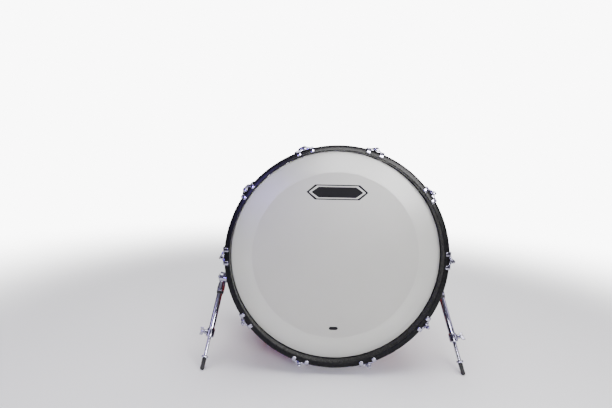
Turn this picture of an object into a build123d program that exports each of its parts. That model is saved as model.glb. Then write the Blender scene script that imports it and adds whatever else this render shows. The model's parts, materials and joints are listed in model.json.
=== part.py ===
from build123d import *
from math import asin, degrees
import os

# Bass drum, 22 in by 14 in, standing on its rear hoop and two fold-out spurs.
# Millimetres.  The drum is drawn about its own axis, which is Y, with the front
# head facing -Y, and is then tipped back a little to stand on the floor at z = 0.

# ---- driving dimensions -------------------------------------------------------
shell_diameter = 555.0
shell_depth = 355.6
shell_ply = 6.5
bearing_edge_land = 1.0
wrap_thickness = 0.6
wrap_short_of_hoop = 2.0

film_thickness = 0.4
film_gap = 0.3              # collar of the head to the wrap
flesh_gap = 0.2             # collar of the head to the flesh hoop
flesh_width = 7.0
flesh_height = 13.0
collar_height = 9.0         # flesh hoop's outer face below the head
collar_short = 2.0          # collar ends inside the flesh hoop
head_outer_bend = 1.0
head_inner_bend = 0.6

hoop_gap = 0.7              # collar of the head to the wooden hoop
hoop_width = 14.0
hoop_depth = 44.45
hoop_rabbet = 4.0           # how far the hoop laps over the flesh hoop
hoop_corner = 1.8

muffle_width = 47.0
muffle_thickness = 0.5
muffle_clear_of_shell = 1.0
muffle_clear_of_head = 0.02

lug_count = 10
lug_length = 65.0
lug_width_outer = 27.0
lug_width_inner = 19.0
lug_height_inner = 12.0
lug_housing = 31.0          # full-height stretch over the swivel nut
lug_housing_drop = 1.2
lug_wall = 3.2
lug_corner_outer = 9.0
lug_corner_inner = 5.0
hollow_corner_outer = 3.0
hollow_corner_inner = 2.0
lug_post_wall = 2.4
nut_clearance = 0.05
lug_to_shell_end = 41.0
lug_screw_spacing = 40.0
lug_crown = 6.6             # metal above the rod's axis
gasket_thickness = 0.8

rod_radius = 2.8
rod_outside_hoop = 5.0      # rod's axis beyond the hoop's outer face
rod_clearance = 0.5
thread_clearance = 0.05
nut_radius = 5.2
nut_length = 18.0
nut_setback = 3.0           # nut's end inside the lug's mouth
rod_past_nut = 5.0
rod_flange_radius = 5.2
rod_tip_clearance = 1.0
rod_flange_height = 1.5
rod_square = 6.35
rod_square_height = 8.0
washer_radius = 5.7
washer_height = 1.2
small_gap = 0.1

claw_finger_spacing = 35.0
claw_finger_width = 12.0
claw_plate = 3.5
claw_overlap = 12.5         # reach of the fingers over the hoop's end face
claw_length = 25.0          # reach of the claw down the hoop's outer face
claw_seat = 0.2
claw_boss_radius = 5.9
claw_boss_length = 20.0
claw_boss_proud = 0.6
claw_saddle_depth = 12.0    # block the saddle is cut from, below the hoop's outer face

screw_radius = 2.5
screw_hole_clearance = 0.3
screw_head_radius = 4.6
screw_head_height = 3.2
screw_thread_depth = 8.0
screw_short_of_bore = 1.0
thread_fit = 0.05

vent_radius = 6.0
grommet_flange = 11.0
grommet_wall = 1.2
grommet_curl = 0.4
grommet_fit = 0.05
grommet_inner_flange = 9.0

front_lift = 22.0           # front hoop off the floor
spur_angle = 105.5          # from the top, seen from the front
spur_behind_front = 125.0   # pivot behind the front hoop's end face
spur_stand_off = 42.0       # pivot outside the wrap
foot_outside_hoop = 58.0
foot_behind_front = 18.0
foot_radius = 6.0
foot_length = 26.0
fold_margin = 2.0           # folded leg stops this many degrees short of parallel

bracket_width = 46.0
bracket_plate = 7.0
bracket_above = 56.0        # plate's reach above the pivot, along the shell
bracket_below = 30.0
bracket_boss_radius = 14.0
catch_size = 20.0
catch_height = 40.0
catch_above = 46.0
bracket_screw_inset = 9.0
bracket_upper_screws = 25.0 # above the pivot, below the catch
boss_root = 44.0            # boss reaches this far in from the knuckle's middle
pivot_hole_depth = 23.0
pivot_bolt_reach = 22.0

knuckle_radius = 14.5
knuckle_thickness = 14.0
socket_radius = 11.0
socket_length = 42.0
socket_root = 6.0
tube_start = 17.0
pivot_radius = 5.0
pivot_head_radius = 8.5
pivot_head_height = 5.0
moving_gap = 0.3
collar_length = 7.0
collar_radius = 10.2

tube_radius = 8.0
tube_wall = 1.5
tube_short_of_foot = 84.0
clamp_past_tube = 3.0
extension_radius = 4.8
extension_inside = 80.0
spike_radius = 3.1
spike_short = 4.0           # spike's point inside the rubber foot
spike_point = 5.0
spike_tip_radius = 0.4
spike_fit = 0.02
spike_end_gap = 0.5
lock_nut_radius = 9.0
lock_nut_height = 6.0
clamp_radius = 11.0
clamp_length = 24.0
clamp_boss_radius = 6.5
clamp_boss_reach = 17.0
wing_screw_radius = 3.0
wing_hub_radius = 5.5
wing_hub_length = 9.0
wing_span = 34.0
wing_height = 15.0
wing_thickness = 3.6
wing_root = 4.0             # half width of the wings at the hub
wing_tip = 8.0
wing_turn = 55.0

# ---- allowances for cutters and joined solids ------------------------------------
past = 5.0                  # a cutter runs this far past the faces it opens
sunk = 0.5                  # one solid reaches this far into the one it joins
below_wrap = 12.0           # bottom of a block that is trimmed to the round shell

# ---- sizes that follow ------------------------------------------------------------
shell_r = shell_diameter / 2
shell_inner_r = shell_r - shell_ply
wrap_r = shell_r + wrap_thickness
film_r = wrap_r + film_gap + film_thickness
flesh_inner_r = film_r + flesh_gap
flesh_r = flesh_inner_r + flesh_width
hoop_inner_r = film_r + hoop_gap
hoop_r = hoop_inner_r + hoop_width
rod_circle_r = hoop_r + rod_outside_hoop

shell_end = shell_depth / 2
flesh_outer_y = shell_end - collar_height
hoop_inner_y = flesh_outer_y - hoop_rabbet
hoop_end = hoop_inner_y + hoop_depth

claw_face = hoop_end + claw_seat + claw_plate
boss_end = claw_face + claw_boss_proud
washer_end = boss_end + washer_height
flange_start = washer_end + small_gap
lug_mouth = shell_end - lug_to_shell_end
nut_outer = lug_mouth - nut_setback
rod_tip = nut_outer - nut_length - rod_past_nut

stand_tilt = degrees(asin(front_lift / (2 * hoop_end)))
level = Rot(-stand_tilt, 0, 0) * Pos(0, hoop_end, -hoop_r)
STAND = Pos(0, 0, -level.position.Z) * Rot(-stand_tilt, 0, 0)

lug_angles = [360 / lug_count * (i + 0.5) for i in range(lug_count)]


# ---- helpers --------------------------------------------------------------------------
def ring(points):
    """Solid of revolution about Y from (radius, y) points."""
    return revolve(make_face(Polyline(points, close=True)), Axis.Y)


def band(inner, outer, y0, y1):
    return ring([(inner, y0), (outer, y0), (outer, y1), (inner, y1)])


def rod_along_y(radius, y0, y1, x=0.0, z=0.0):
    return Pos(x, (y0 + y1) / 2, z) * Rot(-90, 0, 0) * Cylinder(radius, y1 - y0)


def rod_along_x(radius, x0, x1, z=0.0):
    return Pos((x0 + x1) / 2, 0, z) * Rot(0, 90, 0) * Cylinder(radius, x1 - x0)


def rod_along_z(radius, z0, z1, x=0.0, y=0.0):
    return Pos(x, y, (z0 + z1) / 2) * Cylinder(radius, z1 - z0)


def block(x0, x1, y0, y1, z0, z1):
    centre = ((x0 + x1) / 2, (y0 + y1) / 2, (z0 + z1) / 2)
    return Pos(*centre) * Box(x1 - x0, y1 - y0, z1 - z0)


def at_angle(angle, shape):
    """Turn a shape drawn at the top of the drum to its place round the axis."""
    return Rot(0, angle, 0) * shape


def to_front(shape):
    return Rot(0, 0, 180) * shape


def both_ends(shape):
    return [shape, to_front(shape)]


def round_the_drum(shape):
    return [at_angle(angle, shape) for angle in lug_angles]


def at_every_lug(shape):
    return [part for end in both_ends(shape) for part in round_the_drum(end)]


def save(name, shapes):
    """Write one node, from one shape or from a list of separate solids."""
    parts = shapes if isinstance(shapes, list) else [shapes]
    solids = [solid for part in parts for solid in part.solids()]
    node = solids[0] if len(solids) == 1 else Compound(children=solids)
    export_step(node, f"parts/{name}.step")


def save_drum(name, shapes):
    """Write a node drawn about the drum's own axis, stood on the floor."""
    parts = shapes if isinstance(shapes, list) else [shapes]
    save(name, [STAND * part for part in parts])


# ---- shell ------------------------------------------------------------------------------
lug_centre = lug_mouth - lug_length / 2
lug_screw_places = [lug_centre - lug_screw_spacing / 2, lug_centre + lug_screw_spacing / 2]
spur_y = -hoop_end + spur_behind_front
bracket_screw_y = [spur_y + side * (bracket_width / 2 - bracket_screw_inset) for side in (-1, 1)]
bracket_screw_x = [-bracket_upper_screws, bracket_below - bracket_screw_inset]


def screw_holes(radius):
    """Cutters through the shell and the wrap for every screw and for the vent."""
    start, end = shell_inner_r - past, wrap_r + past
    lug_hole = [rod_along_z(radius, start, end, y=y) for y in lug_screw_places]
    holes = [turned for hole in lug_hole for turned in round_the_drum(hole)]
    holes += [to_front(hole) for hole in holes]
    for y in bracket_screw_y:
        for x in bracket_screw_x:
            hole = rod_along_z(radius, start, end, x=x, y=y)
            holes += [at_angle(spur_angle, hole), mirror(at_angle(spur_angle, hole), Plane.YZ)]
    return holes + [rod_along_z(vent_radius, start, end)]


def make_shell():
    edge = shell_ply - bearing_edge_land
    profile = [(shell_inner_r, -shell_end + edge), (shell_r - bearing_edge_land, -shell_end),
               (shell_r, -shell_end), (shell_r, shell_end),
               (shell_r - bearing_edge_land, shell_end), (shell_inner_r, shell_end - edge)]
    return ring(profile) - screw_holes(screw_radius + screw_hole_clearance)


def make_wrap():
    reach = flesh_outer_y - flesh_height - wrap_short_of_hoop
    holes = screw_holes(screw_radius + screw_hole_clearance)
    return band(shell_r, wrap_r, -reach, reach) - holes


def make_vent_grommet():
    """Rolled eyelet lining the vent hole, with a flange on the wrap and one inside."""
    bore = vent_radius - grommet_wall
    crown = wrap_r + grommet_wall
    reach = 2 * grommet_flange
    barrel = rod_along_z(vent_radius - grommet_fit, shell_inner_r - grommet_wall, crown)
    flange = rod_along_z(grommet_flange, wrap_r - past, crown + grommet_curl)
    inner = rod_along_z(grommet_inner_flange, shell_inner_r - grommet_wall, shell_inner_r + past)
    outer_skin = rod_along_y(wrap_r, -reach, reach)
    inner_skin = band(shell_inner_r, wrap_r + reach, -reach, reach)
    eyelet = (flange - outer_skin) + (inner - inner_skin) + barrel
    return eyelet - rod_along_z(bore, shell_inner_r - reach, crown + past)


# ---- heads and hoops, drawn at the rear end ----------------------------------------------
def make_head():
    """Thin cup of film: the playing surface and the collar down to the flesh hoop."""
    inner = film_r - film_thickness
    outside = shell_end + film_thickness
    rim = flesh_outer_y - flesh_height + collar_short
    profile = [(0, shell_end), (inner - head_inner_bend, shell_end),
               (inner, shell_end - head_inner_bend), (inner, rim), (film_r, rim),
               (film_r, outside - head_outer_bend), (film_r - head_outer_bend, outside), (0, outside)]
    return ring(profile)


def make_flesh_hoop():
    return band(flesh_inner_r, flesh_r, flesh_outer_y - flesh_height, flesh_outer_y)


def make_hoop():
    """Wooden counterhoop with a rabbet that laps over the flesh hoop."""
    lap_r = flesh_r + flesh_gap
    c = hoop_corner
    profile = [(hoop_inner_r, flesh_outer_y), (lap_r, flesh_outer_y), (lap_r, hoop_inner_y),
               (hoop_r - c, hoop_inner_y), (hoop_r, hoop_inner_y + c), (hoop_r, hoop_end - c),
               (hoop_r - c, hoop_end), (hoop_inner_r + c, hoop_end), (hoop_inner_r, hoop_end - c)]
    return ring(profile)


def make_muffle_ring():
    outer = shell_inner_r - muffle_clear_of_shell
    return band(outer - muffle_width, outer, shell_end - muffle_thickness,
                shell_end - muffle_clear_of_head)


# ---- lugs, drawn at the top of the rear end -------------------------------------------------
def lug_section(y, width, top, below, corner):
    """Upright section of a lug: flat sides down to the shell and a rounded crown."""
    height = top - below
    sketch = Rectangle(width, height)
    upper = sketch.vertices().sort_by(Axis.Y)[-2:]
    return Plane(origin=(0, y, below + height / 2), x_dir=(1, 0, 0), z_dir=(0, -1, 0)) * fillet(
        upper, corner)


def make_lug():
    base = wrap_r - below_wrap
    mouth_top = rod_circle_r + lug_crown
    inner_top = wrap_r + lug_height_inner
    tail = lug_mouth - lug_length
    slope_start = lug_mouth - lug_housing
    slope_width = lug_width_outer - (lug_width_outer - lug_width_inner) * lug_housing / lug_length
    body = loft([lug_section(lug_mouth, lug_width_outer, mouth_top, base, lug_corner_outer),
                 lug_section(slope_start, slope_width, mouth_top - lug_housing_drop, base,
                             lug_corner_outer),
                 lug_section(tail, lug_width_inner, inner_top, base, lug_corner_inner)], ruled=True)
    hollow = loft([
        lug_section(slope_start - lug_wall, slope_width - 3 * lug_wall, rod_circle_r, base,
                    hollow_corner_outer),
        lug_section(tail + lug_wall, lug_width_inner - 2 * lug_wall, inner_top - lug_wall, base,
                    hollow_corner_inner)])
    posts = [rod_along_z(screw_radius + lug_post_wall, base, rod_circle_r, y=y) & body
             for y in lug_screw_places]
    shell_cut = rod_along_y(wrap_r + gasket_thickness, tail - past, lug_mouth + past)
    chamber = rod_along_y(nut_radius + nut_clearance, nut_outer - nut_length, lug_mouth + past,
                          z=rod_circle_r)
    tip_room = rod_along_y(rod_radius + rod_tip_clearance, rod_tip - rod_tip_clearance, lug_mouth,
                           z=rod_circle_r)
    threads = [rod_along_z(screw_radius + thread_fit, base, wrap_r + screw_thread_depth, y=y)
               for y in lug_screw_places]
    return (body - hollow + posts) - [shell_cut, chamber, tip_room] - threads


def make_lug_gasket():
    """Thin pad with the lug's outline, wrapped to the round shell."""
    tail = lug_mouth - lug_length
    over = wrap_r + past
    outline = loft([lug_section(lug_mouth, lug_width_outer, over, wrap_r - below_wrap, sunk),
                    lug_section(tail, lug_width_inner, over, wrap_r - below_wrap, sunk)])
    holes = [rod_along_z(screw_radius + screw_hole_clearance, wrap_r - below_wrap, over, y=y)
             for y in lug_screw_places]
    return (outline & band(wrap_r, wrap_r + gasket_thickness, tail, lug_mouth)) - holes


def make_swivel_nut():
    nut = rod_along_y(nut_radius, nut_outer - nut_length, nut_outer, z=rod_circle_r)
    bore = rod_along_y(rod_radius + thread_clearance, nut_outer - nut_length, nut_outer, z=rod_circle_r)
    return nut - bore


def make_wall_screw(y, depth, x=0.0):
    """Screw from inside the shell outward, its pan head on the shell's inner face."""
    seat = (shell_inner_r ** 2 - (abs(x) + screw_head_radius) ** 2) ** 0.5
    head = rod_along_z(screw_head_radius, seat - screw_head_height, seat, x=x, y=y)
    shank = rod_along_z(screw_radius, seat - sunk, wrap_r + depth, x=x, y=y)
    return head + shank


# ---- claws and rods, drawn at the top of the rear end -----------------------------------------
def make_claw():
    """Cast claw: two fingers over the hoop's end face and a boss round the rod."""
    seat_r = hoop_r + claw_seat
    half = claw_finger_spacing / 2 + claw_finger_width / 2
    root = claw_face - claw_length
    saddle = block(-half, half, root, claw_face, hoop_r - claw_saddle_depth, seat_r + claw_plate)
    saddle -= rod_along_y(seat_r, root - past, claw_face + past)
    tip_r = hoop_r - claw_overlap + claw_finger_width / 2
    for side in (-1, 1):
        x = side * claw_finger_spacing / 2
        face = claw_face - claw_plate
        saddle += block(x - claw_finger_width / 2, x + claw_finger_width / 2, face, claw_face,
                        tip_r, seat_r + claw_plate)
        saddle += rod_along_y(claw_finger_width / 2, face, claw_face, x=x, z=tip_r)
    boss = rod_along_y(claw_boss_radius, boss_end - claw_boss_length, boss_end, z=rod_circle_r)
    boss -= rod_along_y(seat_r, root - past, claw_face - claw_plate)
    bore = rod_along_y(rod_radius + rod_clearance, root - past, boss_end + past, z=rod_circle_r)
    return (saddle + boss) - bore


def make_washer():
    body = rod_along_y(washer_radius, boss_end, washer_end, z=rod_circle_r)
    return body - rod_along_y(rod_radius + rod_clearance, boss_end, washer_end, z=rod_circle_r)


def make_rod():
    """Key rod: square head, flange and a shank that screws into the swivel nut."""
    flange_end = flange_start + rod_flange_height
    shank = rod_along_y(rod_radius, rod_tip, flange_start + sunk, z=rod_circle_r)
    flange = rod_along_y(rod_flange_radius, flange_start, flange_end, z=rod_circle_r)
    half = rod_square / 2
    head = block(-half, half, flange_end - sunk, flange_end + rod_square_height,
                 rod_circle_r - half, rod_circle_r + half)
    return shank + flange + head


# ---- spurs: the right one is drawn, and the left one is its mirror image ------------------------
pivot_r = wrap_r + spur_stand_off
pivot = (STAND * Rot(0, spur_angle, 0) * Pos(0, spur_y, pivot_r)).position
front_edge_y = (STAND * Pos(0, -hoop_end, -hoop_r)).position.Y
foot = Vector(hoop_r + foot_outside_hoop, front_edge_y + foot_behind_front, foot_radius)
leg_way = (foot - pivot).normalized()
leg_length = (foot - pivot).length
drum_back = (STAND * Pos(0, 1, 0)).position - STAND.position
hinge_way = leg_way.cross(drum_back).normalized()
fold_angle = leg_way.get_angle(drum_back) - fold_margin
LEG = Plane(origin=pivot, x_dir=hinge_way, z_dir=leg_way).location

knuckle_half = knuckle_thickness / 2
tube_end = leg_length - tube_short_of_foot
clamp_middle = tube_end - clamp_length / 2 + clamp_past_tube
foot_top = leg_length - foot_length
nut_top = foot_top - lock_nut_height - small_gap


def drum_spur_part(shape):
    """Place a shape drawn at the top of the drum at the right spur's place."""
    return STAND * at_angle(spur_angle, shape)


def bracket_footprint(rise):
    return block(-bracket_above, bracket_below, spur_y - bracket_width / 2, spur_y + bracket_width / 2,
                 wrap_r - below_wrap, wrap_r + rise)


def make_bracket():
    """Cast bracket: curved plate, catch block and the boss that the leg turns on."""
    inner_face = -knuckle_half - moving_gap
    half, catch_half = bracket_width / 2, catch_size / 2
    seat = rod_along_y(wrap_r + gasket_thickness, spur_y - half - past, spur_y + half + past)
    plate = bracket_footprint(bracket_above) & band(
        wrap_r, wrap_r + gasket_thickness + bracket_plate, spur_y - half - past, spur_y + half + past)
    catch = block(-catch_above - catch_half, -catch_above + catch_half, spur_y - catch_half,
                  spur_y + catch_half, wrap_r - past, wrap_r + catch_height)
    boss = LEG * rod_along_x(bracket_boss_radius, -boss_root, inner_face)
    hole = LEG * rod_along_x(pivot_radius + thread_clearance, -pivot_hole_depth, 0)
    threads = [drum_spur_part(rod_along_z(screw_radius + thread_fit, wrap_r - below_wrap,
                                          wrap_r + bracket_plate - screw_short_of_bore, x=x, y=y))
               for x in bracket_screw_x for y in bracket_screw_y]
    body = drum_spur_part(plate + catch) + boss
    return body - drum_spur_part(seat) - hole - threads


def make_spur_gasket():
    half = bracket_width / 2
    holes = [rod_along_z(screw_radius + screw_hole_clearance, wrap_r - below_wrap,
                         wrap_r + below_wrap, x=x, y=y)
             for x in bracket_screw_x for y in bracket_screw_y]
    pad = bracket_footprint(below_wrap) & band(wrap_r, wrap_r + gasket_thickness,
                                               spur_y - half - past, spur_y + half + past)
    return drum_spur_part(pad - holes)


def make_pivot_bolt():
    head_start = knuckle_half + moving_gap
    shank = rod_along_x(pivot_radius, -pivot_bolt_reach, head_start + sunk)
    return LEG * (shank + rod_along_x(pivot_head_radius, head_start, head_start + pivot_head_height))


def make_knuckle():
    """Pivoting casting: an eye on the pivot bolt and a socket that holds the tube."""
    far = 2 * knuckle_radius
    room = knuckle_radius - sunk
    eye = rod_along_x(knuckle_radius, -knuckle_half, knuckle_half)
    socket = rod_along_z(socket_radius, socket_root, socket_length)
    cheeks = [rod_along_x(room, -far, -knuckle_half), rod_along_x(room, knuckle_half, far)]
    cheeks += [block(-far, -knuckle_half, -far, far, 0, knuckle_radius + sunk),
               block(knuckle_half, far, -far, far, 0, knuckle_radius + sunk)]
    bores = [rod_along_x(pivot_radius + thread_clearance, -far, far),
             rod_along_z(tube_radius + thread_fit, tube_start, socket_length + past)]
    return LEG * (eye + socket - cheeks - bores)


def make_collar():
    end = socket_length + collar_length
    bore = rod_along_z(tube_radius + thread_fit, socket_length, end)
    return LEG * (rod_along_z(collar_radius, socket_length, end) - bore)


def make_tube():
    """Outer tube, drilled near its lower end for the wing screw."""
    tube = rod_along_z(tube_radius, tube_start, tube_end)
    bore = rod_along_z(tube_radius - tube_wall, tube_start - past, tube_end + past)
    hole = rod_along_x(wing_screw_radius + moving_gap, 0, 2 * tube_radius, z=clamp_middle)
    return LEG * (tube - bore - hole)


def make_clamp():
    """Collar at the tube's lower end, bored for the inner rod and the wing screw."""
    top = clamp_middle - clamp_length / 2
    bottom = clamp_middle + clamp_length / 2
    body = rod_along_z(clamp_radius, top, bottom)
    boss = rod_along_x(clamp_boss_radius, 0, clamp_boss_reach, z=clamp_middle)
    cuts = [rod_along_z(tube_radius + thread_fit, top - past, tube_end),
            rod_along_z(extension_radius + thread_clearance, top - past, bottom + past),
            rod_along_x(wing_screw_radius + thread_clearance, 0, clamp_boss_reach + past,
                        z=clamp_middle)]
    return LEG * (body + boss - cuts)


def make_extension():
    """Inner rod that slides in the tube, turned down to a spiked thread."""
    point_end = leg_length - spike_short
    rod = rod_along_z(extension_radius, tube_end - extension_inside, nut_top)
    spike = rod_along_z(spike_radius, nut_top - sunk, point_end - spike_point)
    point = Pos(0, 0, point_end - spike_point / 2) * Rot(180, 0, 0) * Cone(
        spike_radius, spike_tip_radius, spike_point)
    return LEG * (rod + spike + point)


def make_lock_nut():
    nut_end = nut_top + lock_nut_height
    bore = rod_along_z(spike_radius + spike_fit, nut_top, nut_end)
    return LEG * (rod_along_z(lock_nut_radius, nut_top, nut_end) - bore)


def make_foot():
    """Rubber foot screwed on the spike, with a round end that stands on the floor."""
    sleeve = rod_along_z(foot_radius, foot_top, leg_length) + Pos(0, 0, leg_length) * Sphere(foot_radius)
    well_end = leg_length - spike_short + spike_end_gap
    well = rod_along_z(spike_radius + thread_clearance, foot_top - past, well_end)
    return LEG * (sleeve - well)


def make_wing_screw():
    """Thumb screw: shank against the inner rod, hub and two flat wings."""
    hub_start = clamp_boss_reach + moving_gap
    hub_end = hub_start + wing_hub_length
    shank = rod_along_x(wing_screw_radius, extension_radius + moving_gap, hub_start + sunk)
    hub = rod_along_x(wing_hub_radius, hub_start, hub_end)
    rise, reach, heel = hub_start + wing_height, wing_span / 2, hub_end - wing_root
    foot_x = hub_start + wing_root / 2
    outline = Polyline((foot_x, wing_root), (heel, reach), (rise, reach), (rise, reach - wing_tip),
                       (hub_end - sunk, 0), (rise, wing_tip - reach), (rise, -reach), (heel, -reach),
                       (foot_x, -wing_root), close=True)
    wings = Rot(wing_turn, 0, 0) * extrude(make_face(outline), wing_thickness / 2, both=True)
    return LEG * Pos(0, 0, clamp_middle) * (shank + hub + wings)


# ---- write the nodes ---------------------------------------------------------------------------
os.makedirs("parts", exist_ok=True)

save_drum("shell", make_shell())
save_drum("shell_wrap", make_wrap())
save_drum("vent_grommet", make_vent_grommet())

for side, end in (("rear", 0), ("front", 1)):
    save_drum(f"{side}_hoop", both_ends(make_hoop())[end])
    save_drum(f"{side}_head", both_ends(make_head())[end])
    save_drum(f"{side}_flesh_hoop", both_ends(make_flesh_hoop())[end])
    save_drum(f"{side}_muffle_ring", both_ends(make_muffle_ring())[end])
    save_drum(f"{side}_lugs", [both_ends(lug)[end] for lug in round_the_drum(make_lug())])
    save_drum(f"{side}_claws", [both_ends(claw)[end] for claw in round_the_drum(make_claw())])
    for number, angle in enumerate(lug_angles, start=1):
        save_drum(f"{side}_rod_{number:02d}", both_ends(at_angle(angle, make_rod()))[end])


save_drum("lug_gaskets", at_every_lug(make_lug_gasket()))
save_drum("swivel_nuts", at_every_lug(make_swivel_nut()))
save_drum("rod_washers", at_every_lug(make_washer()))
save_drum("lug_screws", [screw for y in lug_screw_places
                         for screw in at_every_lug(
                             make_wall_screw(y, screw_thread_depth - screw_short_of_bore))])

bracket_screws = [drum_spur_part(make_wall_screw(y, bracket_plate - 2 * screw_short_of_bore, x=x))
                  for x in bracket_screw_x for y in bracket_screw_y]
for name, pieces in (("spur_gaskets", [make_spur_gasket()]), ("spur_bracket_screws", bracket_screws),
                     ("spur_pivot_bolts", [make_pivot_bolt()])):
    save(name, pieces + [mirror(piece, Plane.YZ) for piece in pieces])

spur_pieces = {"spur_bracket": make_bracket(), "spur_knuckle": make_knuckle(),
               "spur_collar": make_collar(), "spur_tube": make_tube(), "spur_clamp": make_clamp(),
               "spur_rod": make_extension(), "spur_lock_nut": make_lock_nut(),
               "spur_foot": make_foot(), "spur_wing_screw": make_wing_screw()}
for name, piece in spur_pieces.items():
    save(f"right_{name}", piece)
    save(f"left_{name}", mirror(piece, Plane.YZ))

print("stand tilt", round(stand_tilt, 3), "stand height", round(STAND.position.Z, 3))
print("pivot", pivot, "hinge", hinge_way, "leg", leg_way)
print("fold", round(fold_angle, 2), "leg length", round(leg_length, 2))
print("clamp middle", round(clamp_middle, 2))
print("rod circle", rod_circle_r, "hoop", hoop_r, hoop_end, "shell end", shell_end)
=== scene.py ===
"""Finished looks for a 22 inch bass drum with a sparkle wrap, lacquered hoops and fold-out spurs."""

import json
import logging
import math
from collections.abc import Callable
from dataclasses import dataclass, field
from enum import Enum

import bmesh
import bpy
from mathutils import Matrix, Vector


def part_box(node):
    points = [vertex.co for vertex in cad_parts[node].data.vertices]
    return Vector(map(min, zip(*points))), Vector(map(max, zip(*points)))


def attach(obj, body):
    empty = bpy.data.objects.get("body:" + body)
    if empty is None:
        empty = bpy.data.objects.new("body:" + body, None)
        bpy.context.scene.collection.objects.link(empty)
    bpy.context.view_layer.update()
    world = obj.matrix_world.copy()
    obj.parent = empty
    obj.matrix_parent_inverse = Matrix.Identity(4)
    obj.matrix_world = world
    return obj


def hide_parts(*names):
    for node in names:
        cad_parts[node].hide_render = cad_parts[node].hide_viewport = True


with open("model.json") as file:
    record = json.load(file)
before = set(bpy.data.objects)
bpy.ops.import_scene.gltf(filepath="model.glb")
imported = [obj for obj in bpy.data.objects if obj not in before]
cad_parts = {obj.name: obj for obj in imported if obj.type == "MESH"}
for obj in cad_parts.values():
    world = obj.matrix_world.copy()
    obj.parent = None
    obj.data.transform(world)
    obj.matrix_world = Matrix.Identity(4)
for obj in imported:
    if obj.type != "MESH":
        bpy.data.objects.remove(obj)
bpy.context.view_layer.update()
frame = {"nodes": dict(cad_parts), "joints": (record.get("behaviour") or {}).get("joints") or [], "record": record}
MM = 0.001
log = logging.getLogger("bass_drum")

Point = tuple[float, float]
Placer = Callable[[float, float, float], Vector]


# ---- shader helpers ---------------------------------------------------------------------


def linear(hex_colour: str) -> tuple[float, float, float, float]:
    """Turn an sRGB hex colour into linear RGBA.

    Args:
        hex_colour: six hex digits, such as "B4B4B0".

    Returns:
        Linear red, green and blue from 0 to 1, and an alpha of 1.
    """
    values = [int(hex_colour[i:i + 2], 16) / 255 for i in (0, 2, 4)]
    lin = [v / 12.92 if v <= 0.04045 else ((v + 0.055) / 1.055) ** 2.4 for v in values]
    return lin[0], lin[1], lin[2], 1.0


def add_node(tree: bpy.types.NodeTree, kind: str, inputs: dict | None = None,
             **settings: object) -> bpy.types.Node:
    """Add one shader node with its settings and links.

    Args:
        tree: the material's or world's node tree.
        kind: the node's type name.
        inputs: socket name or number to a value, or to an output socket to link from.
        settings: the node's own properties.

    Returns:
        The new node.
    """
    made = tree.nodes.new(kind)
    for key, value in settings.items():
        setattr(made, key, value)
    for key, value in (inputs or {}).items():
        if isinstance(value, bpy.types.NodeSocket):
            tree.links.new(value, made.inputs[key])
        else:
            made.inputs[key].default_value = value
    return made


def blank_material(name: str) -> tuple[bpy.types.Material, bpy.types.NodeTree, bpy.types.Node]:
    """Make an empty node material.

    Args:
        name: the finish's name.

    Returns:
        The material, its node tree and its output node.
    """
    material = bpy.data.materials.new(name)
    material.use_nodes = True
    tree = material.node_tree
    tree.nodes.clear()
    return material, tree, add_node(tree, "ShaderNodeOutputMaterial")


def per_mm(size_mm: float) -> float:
    """Texture scale, in repeats per metre, for a pattern of this real size."""
    return 1.0 / (size_mm * MM)


# ---- finishes -------------------------------------------------------------------------------


@dataclass(frozen=True)
class ChromePlate:
    """Nickel-chrome plate on polished zinc or steel: a hard mirror with a little handling haze."""

    name: str = "chrome_plate"
    # Darker and more violet than bare chrome: partly the plate's own tint, partly a painted reflection of dark
    # violet surroundings.
    colour: str = "A09EAE"
    sharp: float = 0.05
    hazy: float = 0.16
    haze_size_mm: float = 14.0
    scratch_size_mm: float = 0.9
    scratch_depth_mm: float = 0.05
    scratch_strength: float = 0.03

    def build(self) -> bpy.types.Material:
        """Build the mirror metal, whose roughness drifts with handling haze.

        Returns:
            The material.
        """
        material, tree, out = blank_material(self.name)
        point = add_node(tree, "ShaderNodeTexCoord").outputs["Object"]
        haze = add_node(tree, "ShaderNodeTexNoise",
                        {"Vector": point, "Scale": per_mm(self.haze_size_mm), "Detail": 4.0})
        rough = add_node(tree, "ShaderNodeMapRange",
                         {"Value": haze.outputs["Fac"], "From Min": 0.42, "From Max": 0.75,
                          "To Min": self.sharp, "To Max": self.hazy})
        wear = add_node(tree, "ShaderNodeTexNoise",
                        {"Vector": point, "Scale": per_mm(self.scratch_size_mm), "Detail": 2.0})
        bump = add_node(tree, "ShaderNodeBump",
                        {"Height": wear.outputs["Fac"], "Strength": self.scratch_strength,
                         "Distance": self.scratch_depth_mm * MM})
        metal = add_node(tree, "ShaderNodeBsdfPrincipled",
                         {"Base Color": linear(self.colour), "Metallic": 1.0,
                          "Roughness": rough.outputs["Result"], "Normal": bump.outputs["Normal"]})
        tree.links.new(metal.outputs[0], out.inputs["Surface"])
        return material


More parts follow.
